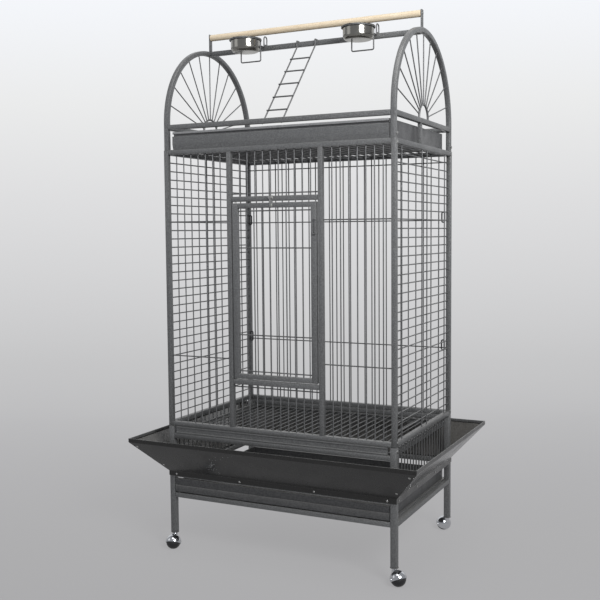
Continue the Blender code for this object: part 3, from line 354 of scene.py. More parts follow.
def add_square(shape, low, high, corner=TUBE_CORNER, steps=2):
    """Square tube or bar between two corners of a box, with its edges rounded."""
    low, high = Vector(low), Vector(high)
    size = high - low
    made = bmesh.ops.create_cube(shape, size=1.0,
                                 matrix=Matrix.Translation((low + high) / 2) @ Matrix.Diagonal(size).to_4x4())
    edges = list({edge for vert in made["verts"] for edge in vert.link_edges})
    bmesh.ops.bevel(shape, geom=edges, offset=min(corner, min(size) * 0.45), segments=steps, profile=0.5,
                    affect="EDGES", clamp_overlap=True)


def one_side(sign, near, far):
    """Two distances from the cage's middle as places on one side of it, the lower one first."""
    return sorted((sign * near, sign * far))


for corner in SWIVELS:
    node = f"stand_leg_{corner}"
    low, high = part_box(node)
    centre = Vector(((low.x + high.x) / 2, (low.y + high.y) / 2, 0))
    leg = bmesh.new()
    half = Vector((LEG_HALF, LEG_HALF, 0))
    add_square(leg, centre - half + UP * (low.z + 0.002), centre + half + UP * high.z)
    add_turned(leg, [(0.0045, low.z), (0.0128, low.z), (0.0135, low.z + 0.0007), (0.0135, low.z + 0.0016),
                     (0.0118, low.z + 0.0024), (0.0, low.z + 0.0024)], 24, Matrix.Translation(centre))
    add_piece(f"leg_{corner}", leg, tube_coat, "cage", node, slot="hammered_coat")

for node in ("stand_rail_front_low", "stand_rail_front_high", "stand_rail_front_grate", "stand_rail_back"):
    rail = bmesh.new()
    add_square(rail, *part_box(node), 0.0015)
    add_piece(f"tube_{node[6:]}", rail, tube_coat, "cage", node, slot="hammered_coat")

for side, sign in (("left", -1), ("right", 1)):
    low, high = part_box(f"stand_rail_{side}")
    tube, shelf, wall = (one_side(sign, *reach) for reach in ((HALF_W - TUBE, HALF_W), TRAY_SHELF, TRAY_WALL))
    rail = bmesh.new()
    add_square(rail, (tube[0], low.y, low.z), (tube[1], high.y, low.z + TUBE), 0.0015)
    add_square(rail, (shelf[0], low.y, high.z - ANGLE_SHEET), (shelf[1], high.y, high.z), 0.0004, 1)
    add_square(rail, (wall[0], low.y, high.z - 0.014), (wall[1], high.y, high.z - 0.0002), 0.0004, 1)
    add_piece(f"tray_rail_{side}", rail, tube_coat, "cage", f"stand_rail_{side}", slot="hammered_coat")

    low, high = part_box(f"grate_runner_{side}")
    runner = bmesh.new()
    wall = one_side(sign, *GRATE_WALL)
    add_square(runner, (low.x, low.y, high.z - ANGLE_SHEET), (high.x, high.y, high.z), 0.0004, 1)
    add_square(runner, (wall[0], low.y, low.z), (wall[1], high.y, high.z - 0.0002), 0.0004, 1)
    add_piece(f"grate_angle_{side}", runner, tube_coat, "cage", f"grate_runner_{side}", slot="hammered_coat")


# Stand's wire skirts
# Short 4 mm wires, butt welded to the rails, close the stand's sides and back under the cage.
SKIRT_WIRES = 18
ACROSS_WIRES = 27
SKIRT_BACK_Y = 0.272
WIRE_SUNK = 0.001


def spaced(low, high, count):
    """Places that part a stretch into equal gaps."""
    return [low + (high - low) * (number + 1) / (count + 1) for number in range(count)]


def add_weld(shape, place, radius=0.0032):
    """A small flattened bead where a wire meets a tube."""
    bmesh.ops.create_icosphere(shape, subdivisions=1, radius=radius, matrix=Matrix.Translation(place))


for side, sign in (("left", -1), ("right", 1)):
    low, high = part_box(f"skirt_{side}")
    skirt = bmesh.new()
    add_square(skirt, low, (high.x, high.y, low.z + TUBE), 0.0015)
    wires = bmesh.new()
    for y in spaced(-IN_Y, IN_Y, SKIRT_WIRES):
        add_round(wires, (sign * POST_X, y, low.z + TUBE - WIRE_SUNK), (sign * POST_X, y, high.z), WIRE)
        add_weld(wires, (sign * POST_X, y, low.z + TUBE))
    add_piece(f"skirt_tube_{side}", skirt, tube_coat, "cage", f"skirt_{side}", slot="hammered_coat")
    add_piece(f"skirt_wires_{side}", wires, wire_coat, "cage", slot="hammered_coat")

low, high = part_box("skirt_back")
skirt = bmesh.new()
add_square(skirt, low, (high.x, high.y, low.z + TUBE), 0.0015)
add_square(skirt, (low.x, low.y, high.z - TUBE), high, 0.0015)
wires = bmesh.new()
for x in spaced(-IN_X, IN_X, ACROSS_WIRES):
    add_round(wires, (x, SKIRT_BACK_Y, low.z + TUBE - WIRE_SUNK),
              (x, SKIRT_BACK_Y, high.z - TUBE + WIRE_SUNK), WIRE)
    for z in (low.z + TUBE, high.z - TUBE):
        add_weld(wires, (x, SKIRT_BACK_Y, z))
add_piece("skirt_tubes_back", skirt, tube_coat, "cage", "skirt_back", slot="hammered_coat")
add_piece("skirt_wires_back", wires, wire_coat, "cage", slot="hammered_coat")


# Seed guard
# Four sheets of thin steel folded to a flange, a slope and an upright lip, in near-black gloss coat, and
# mitred where they meet. Along the top of each runs a hem in the paler hammered coat, a painted highlight
# for the light that catches the lip. Screws hold the flanges to the stand's tubes, and bolts stand at the
# corners of the front sheet.
GUARD_FLARE, GUARD_SHEET, MITRE_GAP = 0.097, 0.0012, 0.0004
FLANGE_FOOT, SLOPE_FOOT, LIP_FOOT, GUARD_TOP = 0.250, 0.266, 0.374, 0.386
# The hem's section: how far out from the lip, and how high
HEM_SECTION = ((0.0008, 0.3770), (0.0011, 0.3776), (0.0011, 0.3856), (0.0006, 0.3861),
               (-0.0010, 0.3861), (-0.0016, 0.3856), (-0.0016, 0.3776), (-0.0012, 0.3770))


def add_folded(shape, section, place, half_length, flare=0.0):
    """Draw a closed (outward, height) section along a face, its ends cut back or mitred by flare."""
    ends = []
    for end in (-1, 1):
        ends.append([shape.verts.new(place @ Vector((outward, height, end * (half_length + flare * outward))))
                     for outward, height in section])
    count = len(section)
    for number in range(count):
        after = (number + 1) % count
        shape.faces.new((ends[0][number], ends[0][after], ends[1][after], ends[1][number]))
    for ring in ends:
        shape.faces.new(ring)


def round_corners(line, bend, steps=4):
    """A 2D line with each inner corner replaced by an arc."""
    path = [Vector(line[0])]
    for before, corner, after in zip(line, line[1:], line[2:]):
        before, corner, after = Vector(before), Vector(corner), Vector(after)
        back, on = (before - corner).normalized(), (after - corner).normalized()
        half = back.angle(on) / 2
        reach = min(bend / tan(half), (before - corner).length * 0.45, (after - corner).length * 0.45)
        centre = corner + (back + on).normalized() * (reach / cos(half))
        first, last = corner + back * reach - centre, corner + on * reach - centre
        sweep = first.angle_signed(last)
        for step in range(steps + 1):
            angle = sweep * step / steps
            path.append(centre + Vector((first.x * cos(-angle) - first.y * sin(-angle),
                                         first.x * sin(-angle) + first.y * cos(-angle))))
    return path + [Vector(line[-1])]


def thicken(path, thickness):
    """Close a 2D path into the outline of a sheet on its right-hand side."""
    normals = []
    for before, after in zip(path, path[1:]):
        along = (after - before).normalized()
        normals.append(Vector((along.y, -along.x)))
    far = []
    for number, point in enumerate(path):
        first, second = normals[max(number - 1, 0)], normals[min(number, len(normals) - 1)]
        far.append(point + (first + second) * (thickness / (1 + first.dot(second))))
    return [tuple(point) for point in path + far[::-1]]


def face_place(side, distance):
    """Local X outward through a face, local Y up, local Z along it."""
    outward = {"front": Vector((0, -1, 0)), "back": Vector((0, 1, 0)),
               "left": Vector((-1, 0, 0)), "right": Vector((1, 0, 0))}[side]
    turn = Matrix((outward, UP, outward.cross(UP))).transposed().to_4x4()
    return Matrix.Translation(outward * distance) @ turn


def add_dome(shape, foot, outward, radius=0.0045, height=0.0022):
    """A domed bolt head on a face."""
    profile = [(0.0, 0.0), (radius, 0.0), (radius, height * 0.35), (radius * 0.8, height * 0.8),
               (radius * 0.4, height), (0.0, height)]
    place = Matrix.Translation(foot) @ Vector(outward).to_track_quat("Z", "Y").to_matrix().to_4x4()
    add_turned(shape, profile, 12, place)


gloss = powder_coat("gloss_sheet", (0.009, 0.0088, 0.0085), (0.014, 0.0137, 0.0133), 0.24, 0.00006, 180.0,
                    metallic=0.30, dust=0.9)
gloss_shader = gloss.node_tree.nodes["Principled BSDF"]
gloss_shader.inputs["Coat Weight"].default_value = 0.35
gloss_shader.inputs["Coat Roughness"].default_value = 0.12

rim = GUARD_FLARE - GUARD_SHEET
guard_line = round_corners([(GAP, FLANGE_FOOT), (GAP, SLOPE_FOOT), (rim, LIP_FOOT), (rim, GUARD_TOP)], 0.004)
guard_section = thicken(guard_line, GUARD_SHEET)
guard_highlight_hem = [(rim + reach, height) for reach, height in HEM_SECTION]
slope_tall = LIP_FOOT - SLOPE_FOOT
slope_out = Vector((slope_tall, -rim, 0)).normalized()
for side in ("front", "back", "left", "right"):
    depth = side in ("front", "back")
    place = face_place(side, HALF_D if depth else HALF_W)
    long_half = HALF_W if depth else HALF_D
    sheet = bmesh.new()
    add_folded(sheet, guard_section, place, long_half - MITRE_GAP, 1.0)
    add_piece(f"guard_sheet_{side}", sheet, gloss, "cage", f"seed_guard_{side}", slot="gloss_sheet")
    # The hem's paler coat is a painted highlight along the top of the lip
    hem = bmesh.new()
    add_folded(hem, guard_highlight_hem, place, long_half - MITRE_GAP - 0.0005, 1.0)
    add_piece(f"guard_highlight_hem_{side}", hem, tube_coat, "cage", slot="hammered_coat")
    screws = bmesh.new()
    outward = place.to_3x3() @ Vector((1, 0, 0))
    for share in (-0.93, -0.33, 0.33, 0.93):
        foot = place @ Vector((0.0015, 0.257, share * long_half))
        add_dome(screws, foot, outward, 0.0035, 0.0018)
    if side == "front":
        for end in (-1, 1):
            for share in (0.22, 0.86):
                reach, height = rim * share, SLOPE_FOOT + slope_tall * share
                foot = place @ Vector((reach + 0.0008, height, end * (long_half + reach - 0.012)))
                add_dome(screws, foot, place.to_3x3() @ slope_out, 0.0042, 0.0022)
    add_piece(f"guard_screws_{side}", screws, zinc, "cage", slot="zinc")


# Waste tray
# A shallow sheet tray with folded, hemmed walls slides on the stand's runners. Its front is a folded
# panel with one crease along it, in dark grey semi-gloss coat.
sheet_coat = powder_coat("tray_sheet", (0.050, 0.051, 0.053), (0.085, 0.086, 0.088), 0.34, 0.00012, 220.0,
                         metallic=0.40, dust=0.8)


def rounded_loop(shape, low, high, corner, height, inset=0.0, steps=4):
    """A level loop of points round a rectangle with rounded corners."""
    radius = max(corner - inset, 0.0005)
    loop = []
    for start, x, y in ((0, high.x, high.y), (90, low.x, high.y), (180, low.x, low.y), (270, high.x, low.y)):
        side_x = x - inset - radius if x == high.x else x + inset + radius
        side_y = y - inset - radius if y == high.y else y + inset + radius
        for step in range(steps + 1):
            angle = radians(start + 90 * step / steps)
            loop.append(shape.verts.new((side_x + radius * cos(angle), side_y + radius * sin(angle), height)))
    return loop


def add_dish(shape, low, high, wall, corner=0.004):
    """A tray with rounded corners, a rolled top edge and thin walls."""
    rings = [(low.z, 0.0015), (low.z + 0.0015, 0.0), (high.z - 0.0030, 0.0), (high.z - 0.0004, 0.0),
             (high.z, 0.0006), (high.z, 0.0022), (high.z - 0.0006, 0.0026), (high.z - 0.0030, 0.0026),
             (high.z - 0.0036, wall), (low.z + wall + 0.002, wall), (low.z + wall, wall + 0.002)]
    loops = [rounded_loop(shape, low, high, corner, height, inset) for height, inset in rings]
    for below, above in zip(loops, loops[1:]):
        for number in range(len(below)):
            after = (number + 1) % len(below)
            shape.faces.new((below[number], below[after], above[after], above[number]))
    shape.faces.new(loops[0])
    shape.faces.new(loops[-1])


def creased(low, high, crease, depth, thick, edge=0.0012):
    """Section of a folded front: rounded edges and one shallow crease."""
    return [(-edge, low), (0, low + edge),
            (0, crease - depth * 1.6), (-depth * 0.75, crease - depth * 0.5), (-depth, crease),
            (-depth * 0.75, crease + depth * 0.5), (0, crease + depth * 1.6),
            (0, high - edge), (-edge, high), (-thick + edge, high), (-thick, high - edge), (-thick, low)]


tray = bmesh.new()
add_dish(tray, *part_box("waste_tray"), 0.0012)
add_piece("tray_shell", tray, sheet_coat, "waste_drawer", "waste_tray", slot="tray_sheet")
low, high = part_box("waste_tray_front")
tray_section = creased(low.z, high.z, (low.z + high.z) / 2, 0.002, 0.008)
front = bmesh.new()
add_folded(front, tray_section, face_place("front", HALF_D), high.x)
add_piece("tray_fold", front, sheet_coat, "waste_drawer", "waste_tray_front", slot="tray_sheet")


# Floor grate
# A row of 4 mm wires welded into a frame of flat bar, with a grooved front that fills the gap over the
# guard. It slides on the angles inside the legs.
BAR, FLUSH_WELD = 0.008, 0.0027
low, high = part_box("grate_floor")
front_y, back_y = low.y + BAR, high.y - BAR
grate = bmesh.new()
for near, far in (((low.x, low.y), (high.x, front_y)), ((low.x, back_y), (high.x, high.y)),
                  ((low.x, front_y), (low.x + BAR, back_y)), ((high.x - BAR, front_y), (high.x, back_y))):
    add_square(grate, (*near, low.z), (*far, high.z), 0.0008, 1)
wires = bmesh.new()
for x in spaced(low.x + BAR, high.x - BAR, ACROSS_WIRES):
    add_round(wires, (x, front_y - WIRE_SUNK, high.z - WIRE), (x, back_y + WIRE_SUNK, high.z - WIRE), WIRE)
    for y in (front_y, back_y):
        add_weld(wires, (x, y, high.z - WIRE), FLUSH_WELD)
add_piece("grate_bars", grate, tube_coat, "grate_drawer", "grate_floor", slot="hammered_coat")
add_piece("grate_wires", wires, wire_coat, "grate_drawer", slot="hammered_coat")
low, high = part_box("grate_front")
hem = (high.z - low.z) / 5
edge, bend, deep = 0.0008, 0.0006, 0.0020
groove = [(-edge, low.z), (0, low.z + edge), (0, low.z + hem - bend), (-deep, low.z + hem + bend),
          (-deep, high.z - hem - bend), (0, high.z - hem + bend), (0, high.z - edge), (-edge, high.z),
          (-0.010, high.z), (-0.010, low.z)]
front = bmesh.new()
add_folded(front, groove, face_place("front", HALF_D), high.x)
add_piece("grate_fold", front, tube_coat, "grate_drawer", "grate_front", slot="hammered_coat")


# Side panels
# Each side is a frame of 16 mm tube, two posts and two rails, filled with level wires that the bird
# climbs, and stiffened by four uprights welded outside them. Bolts join it to the front and back.
STAND_TOP, CAGE_TOP = 0.420, 1.340
TUBE_IN_X, TUBE_IN_Y = HALF_W - TUBE, HALF_D - TUBE
LEVEL_WIRES, LEVEL_PITCH = 31, 0.02795
UPRIGHT_Y = (-0.214, -0.025, 0.025, 0.214)
RAIL_SUNK, SMALL_WELD = 0.0012, 0.0028
wire_foot, wire_head = STAND_TOP + TUBE - WIRE_SUNK, CAGE_TOP - TUBE + WIRE_SUNK
for side, sign in (("left", -1), ("right", 1)):
    low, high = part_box(f"{side}_panel")
    panel = bmesh.new()
    across = one_side(sign, TUBE_IN_X, HALF_W)
    for y in (low.y, high.y - TUBE):
        add_square(panel, (across[0], y, low.z), (across[1], y + TUBE, high.z))
    for z in (low.z, high.z - TUBE):
        add_square(panel, (across[0], low.y + TUBE - RAIL_SUNK, z),
                   (across[1], high.y - TUBE + RAIL_SUNK, z + TUBE))
    add_piece(f"{side}_frame", panel, tube_coat, "cage", f"{side}_panel", slot="hammered_coat")
    wires = bmesh.new()
    first = (STAND_TOP + CAGE_TOP - (LEVEL_WIRES - 1) * LEVEL_PITCH) / 2
    for number in range(LEVEL_WIRES):
        z = first + number * LEVEL_PITCH
        add_round(wires, (sign * POST_X, -TUBE_IN_Y - WIRE_SUNK, z),
                  (sign * POST_X, TUBE_IN_Y + WIRE_SUNK, z), WIRE)
        for y in (-TUBE_IN_Y, TUBE_IN_Y):
            add_weld(wires, (sign * POST_X, y, z), SMALL_WELD)
    for y in UPRIGHT_Y:
        x = sign * (POST_X + 2 * WIRE - 0.0002)
        add_round(wires, (x, y, wire_foot), (x, y, wire_head), WIRE)
    add_piece(f"{side}_wires", wires, wire_coat, "cage", slot="hammered_coat")
    bolts = bmesh.new()
    for y in (-POST_Y, POST_Y):
        for z in (STAND_TOP - 0.012, STAND_TOP + 0.014, CAGE_TOP - 0.012, CAGE_TOP + 0.014):
            add_dome(bolts, (sign * (HALF_W - 0.0002), y, z), (sign, 0, 0), 0.0052, 0.0026)
    add_piece(f"{side}_bolts", bolts, zinc, "cage", slot="zinc")


# Back and roof
# The back and the roof are filled with wires across 28 gaps. Three cross wires are welded inside the
# back's, and the roof's run between the front and back top rails. Under the back, a second rail between
# the rear legs closes the gap over the grate.
CROSS_Z, HIGH_CROSS_Z = (0.658, 1.104), 1.303
BACK_RAIL_FOOT = 0.4030
RAIL_END = TUBE_IN_X - 0.0002
ROOF_WIRE_Z = CAGE_TOP - 0.010
cross_y = POST_Y - 1.5 * WIRE
panel = bmesh.new()
add_square(panel, (-RAIL_END, TUBE_IN_Y, STAND_TOP + GAP), (RAIL_END, HALF_D, STAND_TOP + TUBE))
add_square(panel, (GAP - IN_X, TUBE_IN_Y, BACK_RAIL_FOOT), (IN_X - GAP, HALF_D, STAND_TOP - GAP))
wires = bmesh.new()
for x in spaced(-TUBE_IN_X, TUBE_IN_X, ACROSS_WIRES):
    add_round(wires, (x, POST_Y, wire_foot), (x, POST_Y, wire_head), WIRE)
    add_weld(wires, (x, POST_Y, STAND_TOP + TUBE), SMALL_WELD)
for z in (*CROSS_Z, HIGH_CROSS_Z):
    add_round(wires, (-RAIL_END, cross_y, z), (RAIL_END, cross_y, z), WIRE)
add_piece("back_tube", panel, tube_coat, "cage", "back_panel", slot="hammered_coat")
add_piece("back_wires", wires, wire_coat, "cage", slot="hammered_coat")

roof = bmesh.new()
for y in (-HALF_D, TUBE_IN_Y):
    add_square(roof, (-RAIL_END, y, CAGE_TOP - TUBE), (RAIL_END, y + TUBE, CAGE_TOP))
wires = bmesh.new()
for x in spaced(-TUBE_IN_X, TUBE_IN_X, ACROSS_WIRES):
    add_round(wires, (x, -TUBE_IN_Y - WIRE_SUNK, ROOF_WIRE_Z), (x, TUBE_IN_Y + WIRE_SUNK, ROOF_WIRE_Z), WIRE)
add_piece("roof_tubes", roof, tube_coat, "cage", "roof_panel", slot="hammered_coat")
add_piece("roof_wires", wires, wire_coat, "cage", slot="hammered_coat")


# Front
# A full-height post stands on each side of the door, with seven wires outside it. The sill and the
# header carry ten short wires each, tied by a cross wire, and two cross wires tie each side's wires.
CROSS_GAP = 0.009
MID_IN, MID_OUT = 0.153, 0.169
SIDE_WIRES, SHORT_WIRES = 7, 10
SILL_FOOT, HEADER_FOOT = 0.578, 1.165
cross_y = -POST_Y + 1.5 * WIRE
rail = bmesh.new()
add_square(rail, (-RAIL_END, -HALF_D, STAND_TOP + GAP), (RAIL_END, -TUBE_IN_Y, STAND_TOP + TUBE))
add_piece("front_tube", rail, tube_coat, "cage", "front_rail", slot="hammered_coat")
for side, sign in (("left", -1), ("right", 1)):
    post = bmesh.new()
    across = one_side(sign, MID_IN, MID_OUT)
    add_square(post, (across[0], -HALF_D, wire_foot), (across[1], -TUBE_IN_Y, wire_head))
    wires = bmesh.new()
    for x in spaced(MID_OUT, TUBE_IN_X, SIDE_WIRES):
        add_round(wires, (sign * x, -POST_Y, wire_foot), (sign * x, -POST_Y, wire_head), WIRE)
    for z in CROSS_Z:
        add_round(wires, (sign * (MID_OUT - WIRE_SUNK), cross_y, z), (sign * RAIL_END, cross_y, z), WIRE)
        add_weld(wires, (sign * MID_OUT, cross_y, z), SMALL_WELD)
    add_piece(f"door_post_{side}", post, tube_coat, "cage", f"front_panel_{side}", slot="hammered_coat")
    add_piece(f"front_wires_{side}", wires, wire_coat, "cage", slot="hammered_coat")
for node, rail_low in (("door_sill", SILL_FOOT), ("door_header", HEADER_FOOT)):
    low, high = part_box(node)
    rail = bmesh.new()
    add_square(rail, (low.x, -HALF_D, rail_low), (high.x, -TUBE_IN_Y, rail_low + TUBE))
    wires = bmesh.new()
    below = node == "door_sill"
    ends = (wire_foot, rail_low + WIRE_SUNK) if below else (rail_low + TUBE - WIRE_SUNK, wire_head)
    for x in spaced(-MID_IN, MID_IN, SHORT_WIRES):
        add_round(wires, (x, -POST_Y, ends[0]), (x, -POST_Y, ends[1]), WIRE)
        add_weld(wires, (x, -POST_Y, rail_low if below else rail_low + TUBE), SMALL_WELD)
    cross_z = rail_low - CROSS_GAP if below else rail_low + TUBE + CROSS_GAP
    add_round(wires, (low.x, cross_y, cross_z), (high.x, cross_y, cross_z), WIRE)
    add_piece(f"{node}_tube", rail, tube_coat, "cage", node, slot="hammered_coat")
    add_piece(f"{node}_wires", wires, wire_coat, "cage", slot="hammered_coat")


# Panel hooks
# Small closed wire links stand inside the rear posts, at the two lower cross wires of the back, and hold
# the back to the sides.
LINK_HALF, LINK_TALL, LINK_WIRE = 0.0050, 0.025, 0.0024
LINK_FROM_POST, LINK_FROM_BACK = 0.0078, 0.0125


def add_bent(shape, points, radius, sides=10, closed=False):
    """A bent wire along 3D points, its ends capped unless it is closed."""
    count = len(points)
    tangents = []
    for number in range(count):
        before = points[number - 1] if closed or number else points[0]
        after = points[(number + 1) % count] if closed or number < count - 1 else points[-1]
        tangents.append((after - before).normalized())
    normal = tangents[0].orthogonal().normalized()
    rings = []
    for number, (point, tangent) in enumerate(zip(points, tangents)):
        if number:
            turn = tangents[number - 1].rotation_difference(tangent)
            normal = turn @ normal
        across = tangent.cross(normal).normalized()
        angles = [2 * pi * step / sides for step in range(sides)]
        rings.append([shape.verts.new(point + (normal * cos(angle) + across * sin(angle)) * radius)
                      for angle in angles])
    pairs = list(zip(rings, rings[1:]))
    if closed:
        nearest = min(range(sides), key=lambda shift: (rings[-1][0].co - rings[0][shift].co).length)
        pairs.append((rings[-1], rings[0][nearest:] + rings[0][:nearest]))
    for below, above in pairs:
        for step in range(sides):
            after = (step + 1) % sides
            shape.faces.new((below[step], below[after], above[after], above[step]))
    if not closed:
        shape.faces.new(rings[0])
        shape.faces.new(rings[-1])


hooks = bmesh.new()
for sign in (-1, 1):
    for z in CROSS_Z:
        foot = Vector((sign * (TUBE_IN_X - LINK_FROM_POST), POST_Y - LINK_FROM_BACK, z - WIRE))
        link_path = []
        for middle_z, first in ((LINK_TALL, 0), (0.0, 180)):
            for step in range(9):
                angle = radians(first + 180 * step / 8)
                height = middle_z + LINK_HALF * sin(angle)
                link_path.append(foot + Vector((LINK_HALF * cos(angle), 0, height)))
        add_bent(hooks, link_path, LINK_WIRE, 10, closed=True)
add_piece("panel_hooks", hooks, nylon, "cage", slot="hammered_coat")


# Door
# A frame of flat tube with eight wires and four cross wires, on a pin at each end of its left stile.
# A wire hook on the right stile and a turn button with a knob on the top rail keep it shut.
STILE, DOOR_RAIL, DOOR_CORNER = 0.020, 0.016, 0.0014
DOOR_WIRES, DOOR_WIRE_Y, DOOR_CROSS = 8, -0.276, 0.142
PIN = 0.003
low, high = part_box("door")
rail_ends = (low.x + STILE - WIRE_SUNK, high.x - STILE + WIRE_SUNK)
inner_z = (low.z + DOOR_RAIL, high.z - DOOR_RAIL)
cross_y = DOOR_WIRE_Y + 0.0043
door = bmesh.new()
for x in (low.x, high.x - STILE):
    add_square(door, (x, low.y, low.z), (x + STILE, high.y, high.z), DOOR_CORNER)
for z in (low.z, high.z - DOOR_RAIL):
    add_square(door, (rail_ends[0], low.y, z), (rail_ends[1], high.y, z + DOOR_RAIL), DOOR_CORNER)
wires = bmesh.new()
for x in spaced(low.x + STILE, high.x - STILE, DOOR_WIRES):
    add_round(wires, (x, DOOR_WIRE_Y, inner_z[0] - WIRE_SUNK), (x, DOOR_WIRE_Y, inner_z[1] + WIRE_SUNK), WIRE)
    for z in inner_z:
        add_weld(wires, (x, DOOR_WIRE_Y, z), FLUSH_WELD)
for z in (low.z + DOOR_CROSS, high.z - DOOR_CROSS, inner_z[0] + CROSS_GAP, inner_z[1] - CROSS_GAP):
    add_round(wires, (rail_ends[0], cross_y, z), (rail_ends[1], cross_y, z), WIRE)
add_piece("door_frame", door, tube_coat, "door", "door", slot="hammered_coat")
add_piece("door_wires", wires, wire_coat, "door", slot="hammered_coat")

for node in ("hinge_pin_low", "hinge_pin_high"):
    low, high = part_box(node)
    centre = (low + high) / 2
    pin = bmesh.new()
    wide = (high.x - low.x) / 2
    if node == "hinge_pin_low":
        profile = [(0, high.z), (0.0022, high.z), (PIN, high.z - 0.0008), (PIN, low.z + 0.0024),
                   (wide, low.z + 0.0022), (wide, low.z), (0, low.z)]
    else:
        profile = [(0, high.z), (wide, high.z), (wide, low.z + 0.0008), (wide - 0.0008, low.z), (0, low.z)]
    add_turned(pin, profile, 24, Matrix.Translation((centre.x, centre.y, 0)))
    add_piece(f"pin_{node[10:]}", pin, zinc, "cage", node, slot="zinc")

LATCH_LONG, LATCH_BEND, LATCH_WIRE = 0.042, 0.004, 0.0024
pivot = Vector((0.1445, -0.2828, 1.106))
foot = pivot - UP * LATCH_LONG
path = [pivot + UP * 0.0025, foot]
for step in range(1, 11):
    angle = pi * step / 10
    path.append(foot - Vector((LATCH_BEND * (1 - cos(angle)), 0, LATCH_BEND * sin(angle))))
path.append(path[-1] + UP * LATCH_BEND)
latch = bmesh.new()
add_bent(latch, path, LATCH_WIRE, 12)
add_dome(latch, pivot - Vector((0, 0.0018, 0)), (0, -1, 0), 0.0042, 0.0022)
add_piece("latch_hook", latch, wire_coat, "latch", "door_latch", slot="zinc")

BUTTON_HALF, BUTTON_BACK_Y, BUTTON_FACE_Y, BUTTON_SCREW_Z = 0.006, -0.2803, -0.2823, 1.152
low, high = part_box("turn_button")
middle_x = (low.x + high.x) / 2
button = bmesh.new()
add_square(button, (middle_x - BUTTON_HALF, BUTTON_FACE_Y, low.z),
           (middle_x + BUTTON_HALF, BUTTON_BACK_Y, high.z), 0.0008)
add_dome(button, (middle_x, BUTTON_FACE_Y + 0.0001, BUTTON_SCREW_Z), (0, -1, 0), 0.0045, 0.0024)
knob_place = Matrix.Translation((middle_x, BUTTON_FACE_Y + 0.0003, high.z - 0.0065))
add_turned(button, [(0, 0), (0.0048, 0), (0.0046, 0.003), (0.0062, 0.0056), (0.0065, 0.0072),
                    (0.0056, 0.0087), (0.003, 0.0093), (0, 0.0093)], 24,
           knob_place @ Matrix.Rotation(radians(90), 4, "X"))
add_piece("button_bar", button, zinc, "button", "turn_button", slot="zinc")


# Play-top rim and pan
# A rim of square tube stands over the cage, with a sheet pan under it that pulls out at the front to be
# emptied. The pan's sheet has painted shade underneath: its colour goes near black where it faces down. A
# folded lip runs along the pan's front edge in a paler coat that is a painted highlight, over a plate that is
# folded back at its foot.
pan_coat = powder_coat("pan_sheet", (0.070, 0.071, 0.073), (0.115, 0.116, 0.119), 0.36, 0.00012, 220.0,
                       metallic=0.40, dust=0.8)
pan_tree = pan_coat.node_tree
pan_shader = pan_tree.nodes["Principled BSDF"]
# Painted shade: the pan's colour is blended to near black where its surface faces down
pan_facing = pan_tree.nodes.new("ShaderNodeSeparateXYZ")
link(pan_tree, pan_tree.nodes.new("ShaderNodeNewGeometry").outputs["Normal"], pan_facing.inputs[0])
pan_down = calculate(pan_tree, "MULTIPLY", pan_facing.outputs["Z"], -1.0)
pan_painted_shade_mask = calculate(pan_tree, "MAXIMUM", pan_down, 0.0)
pan_colour = pan_shader.inputs["Base Color"]
pan_shade_painted_colour = blend_colour(pan_tree, pan_painted_shade_mask, pan_colour.links[0].from_socket, (0.006, 0.006, 0.006))
link(pan_tree, pan_shade_painted_colour, pan_colour)
for node in ("rim_rail_front", "rim_rail_back"):
    rail = bmesh.new()
    add_square(rail, *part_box(node))
    add_piece(f"{node}_tube", rail, tube_coat, "cage", node, slot="hammered_coat")
# Painted highlight: the lip is the pan's own sheet, given a paler coat to stand in for the light it catches
pan_lip_highlight_coat = powder_coat("pan_lip_highlight_coat", (0.20, 0.202, 0.205), (0.30, 0.302, 0.306), 0.30, 0.00012, 420.0)
PAN_LIP, PAN_PLATE, PAN_SHEET = 0.008, 0.007, 0.0012
low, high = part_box("play_top_pan")
wall_y = -HALF_D + PAN_PLATE + GAP
pan = bmesh.new()
add_dish(pan, Vector((low.x, wall_y, low.z)), high, PAN_SHEET, 0.003)
add_piece("pan_shell", pan, pan_coat, "top_pan", "play_top_pan", slot="tray_sheet")
lip = bmesh.new()
add_square(lip, (low.x, low.y, high.z - PAN_LIP), (high.x, wall_y + PAN_SHEET, high.z), 0.0016)
add_piece("pan_lip", lip, pan_lip_highlight_coat, "top_pan", slot="hammered_coat")
low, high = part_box("pan_front")
plate = [(-0.0035, low.z), (-0.0006, low.z + 0.0138), (0, low.z + 0.0165), (0, high.z - PAN_SHEET),
         (-PAN_SHEET, high.z), (-PAN_PLATE + PAN_SHEET, high.z), (-PAN_PLATE, high.z - PAN_SHEET),
         (-PAN_PLATE, low.z)]
plate_place = Matrix.Translation(((low.x + high.x) / 2, 0, 0)) @ face_place("front", HALF_D)
front = bmesh.new()
add_folded(front, plate, plate_place, (high.x - low.x) / 2)
add_piece("pan_fold", front, tube_coat, "top_pan", "pan_front", slot="hammered_coat")


# Arches
# Each end of the play top is one square tube bent to half a circle on two short legs, welded over
# the side rim rail. Eleven spokes fan out to it from a half ring of thicker wire.
RIM_LOW, RIM_TOP, ARCH_MIDDLE = 1.406, 1.422, 1.425
ARCH_RADIUS = HALF_D - TUBE / 2
ARCH_STEPS = 56
HUB, HUB_RISE, HUB_WIRE = 0.043, 0.003, 0.0035
STRUT_HALF, STRUT_Y = 0.006, -0.035


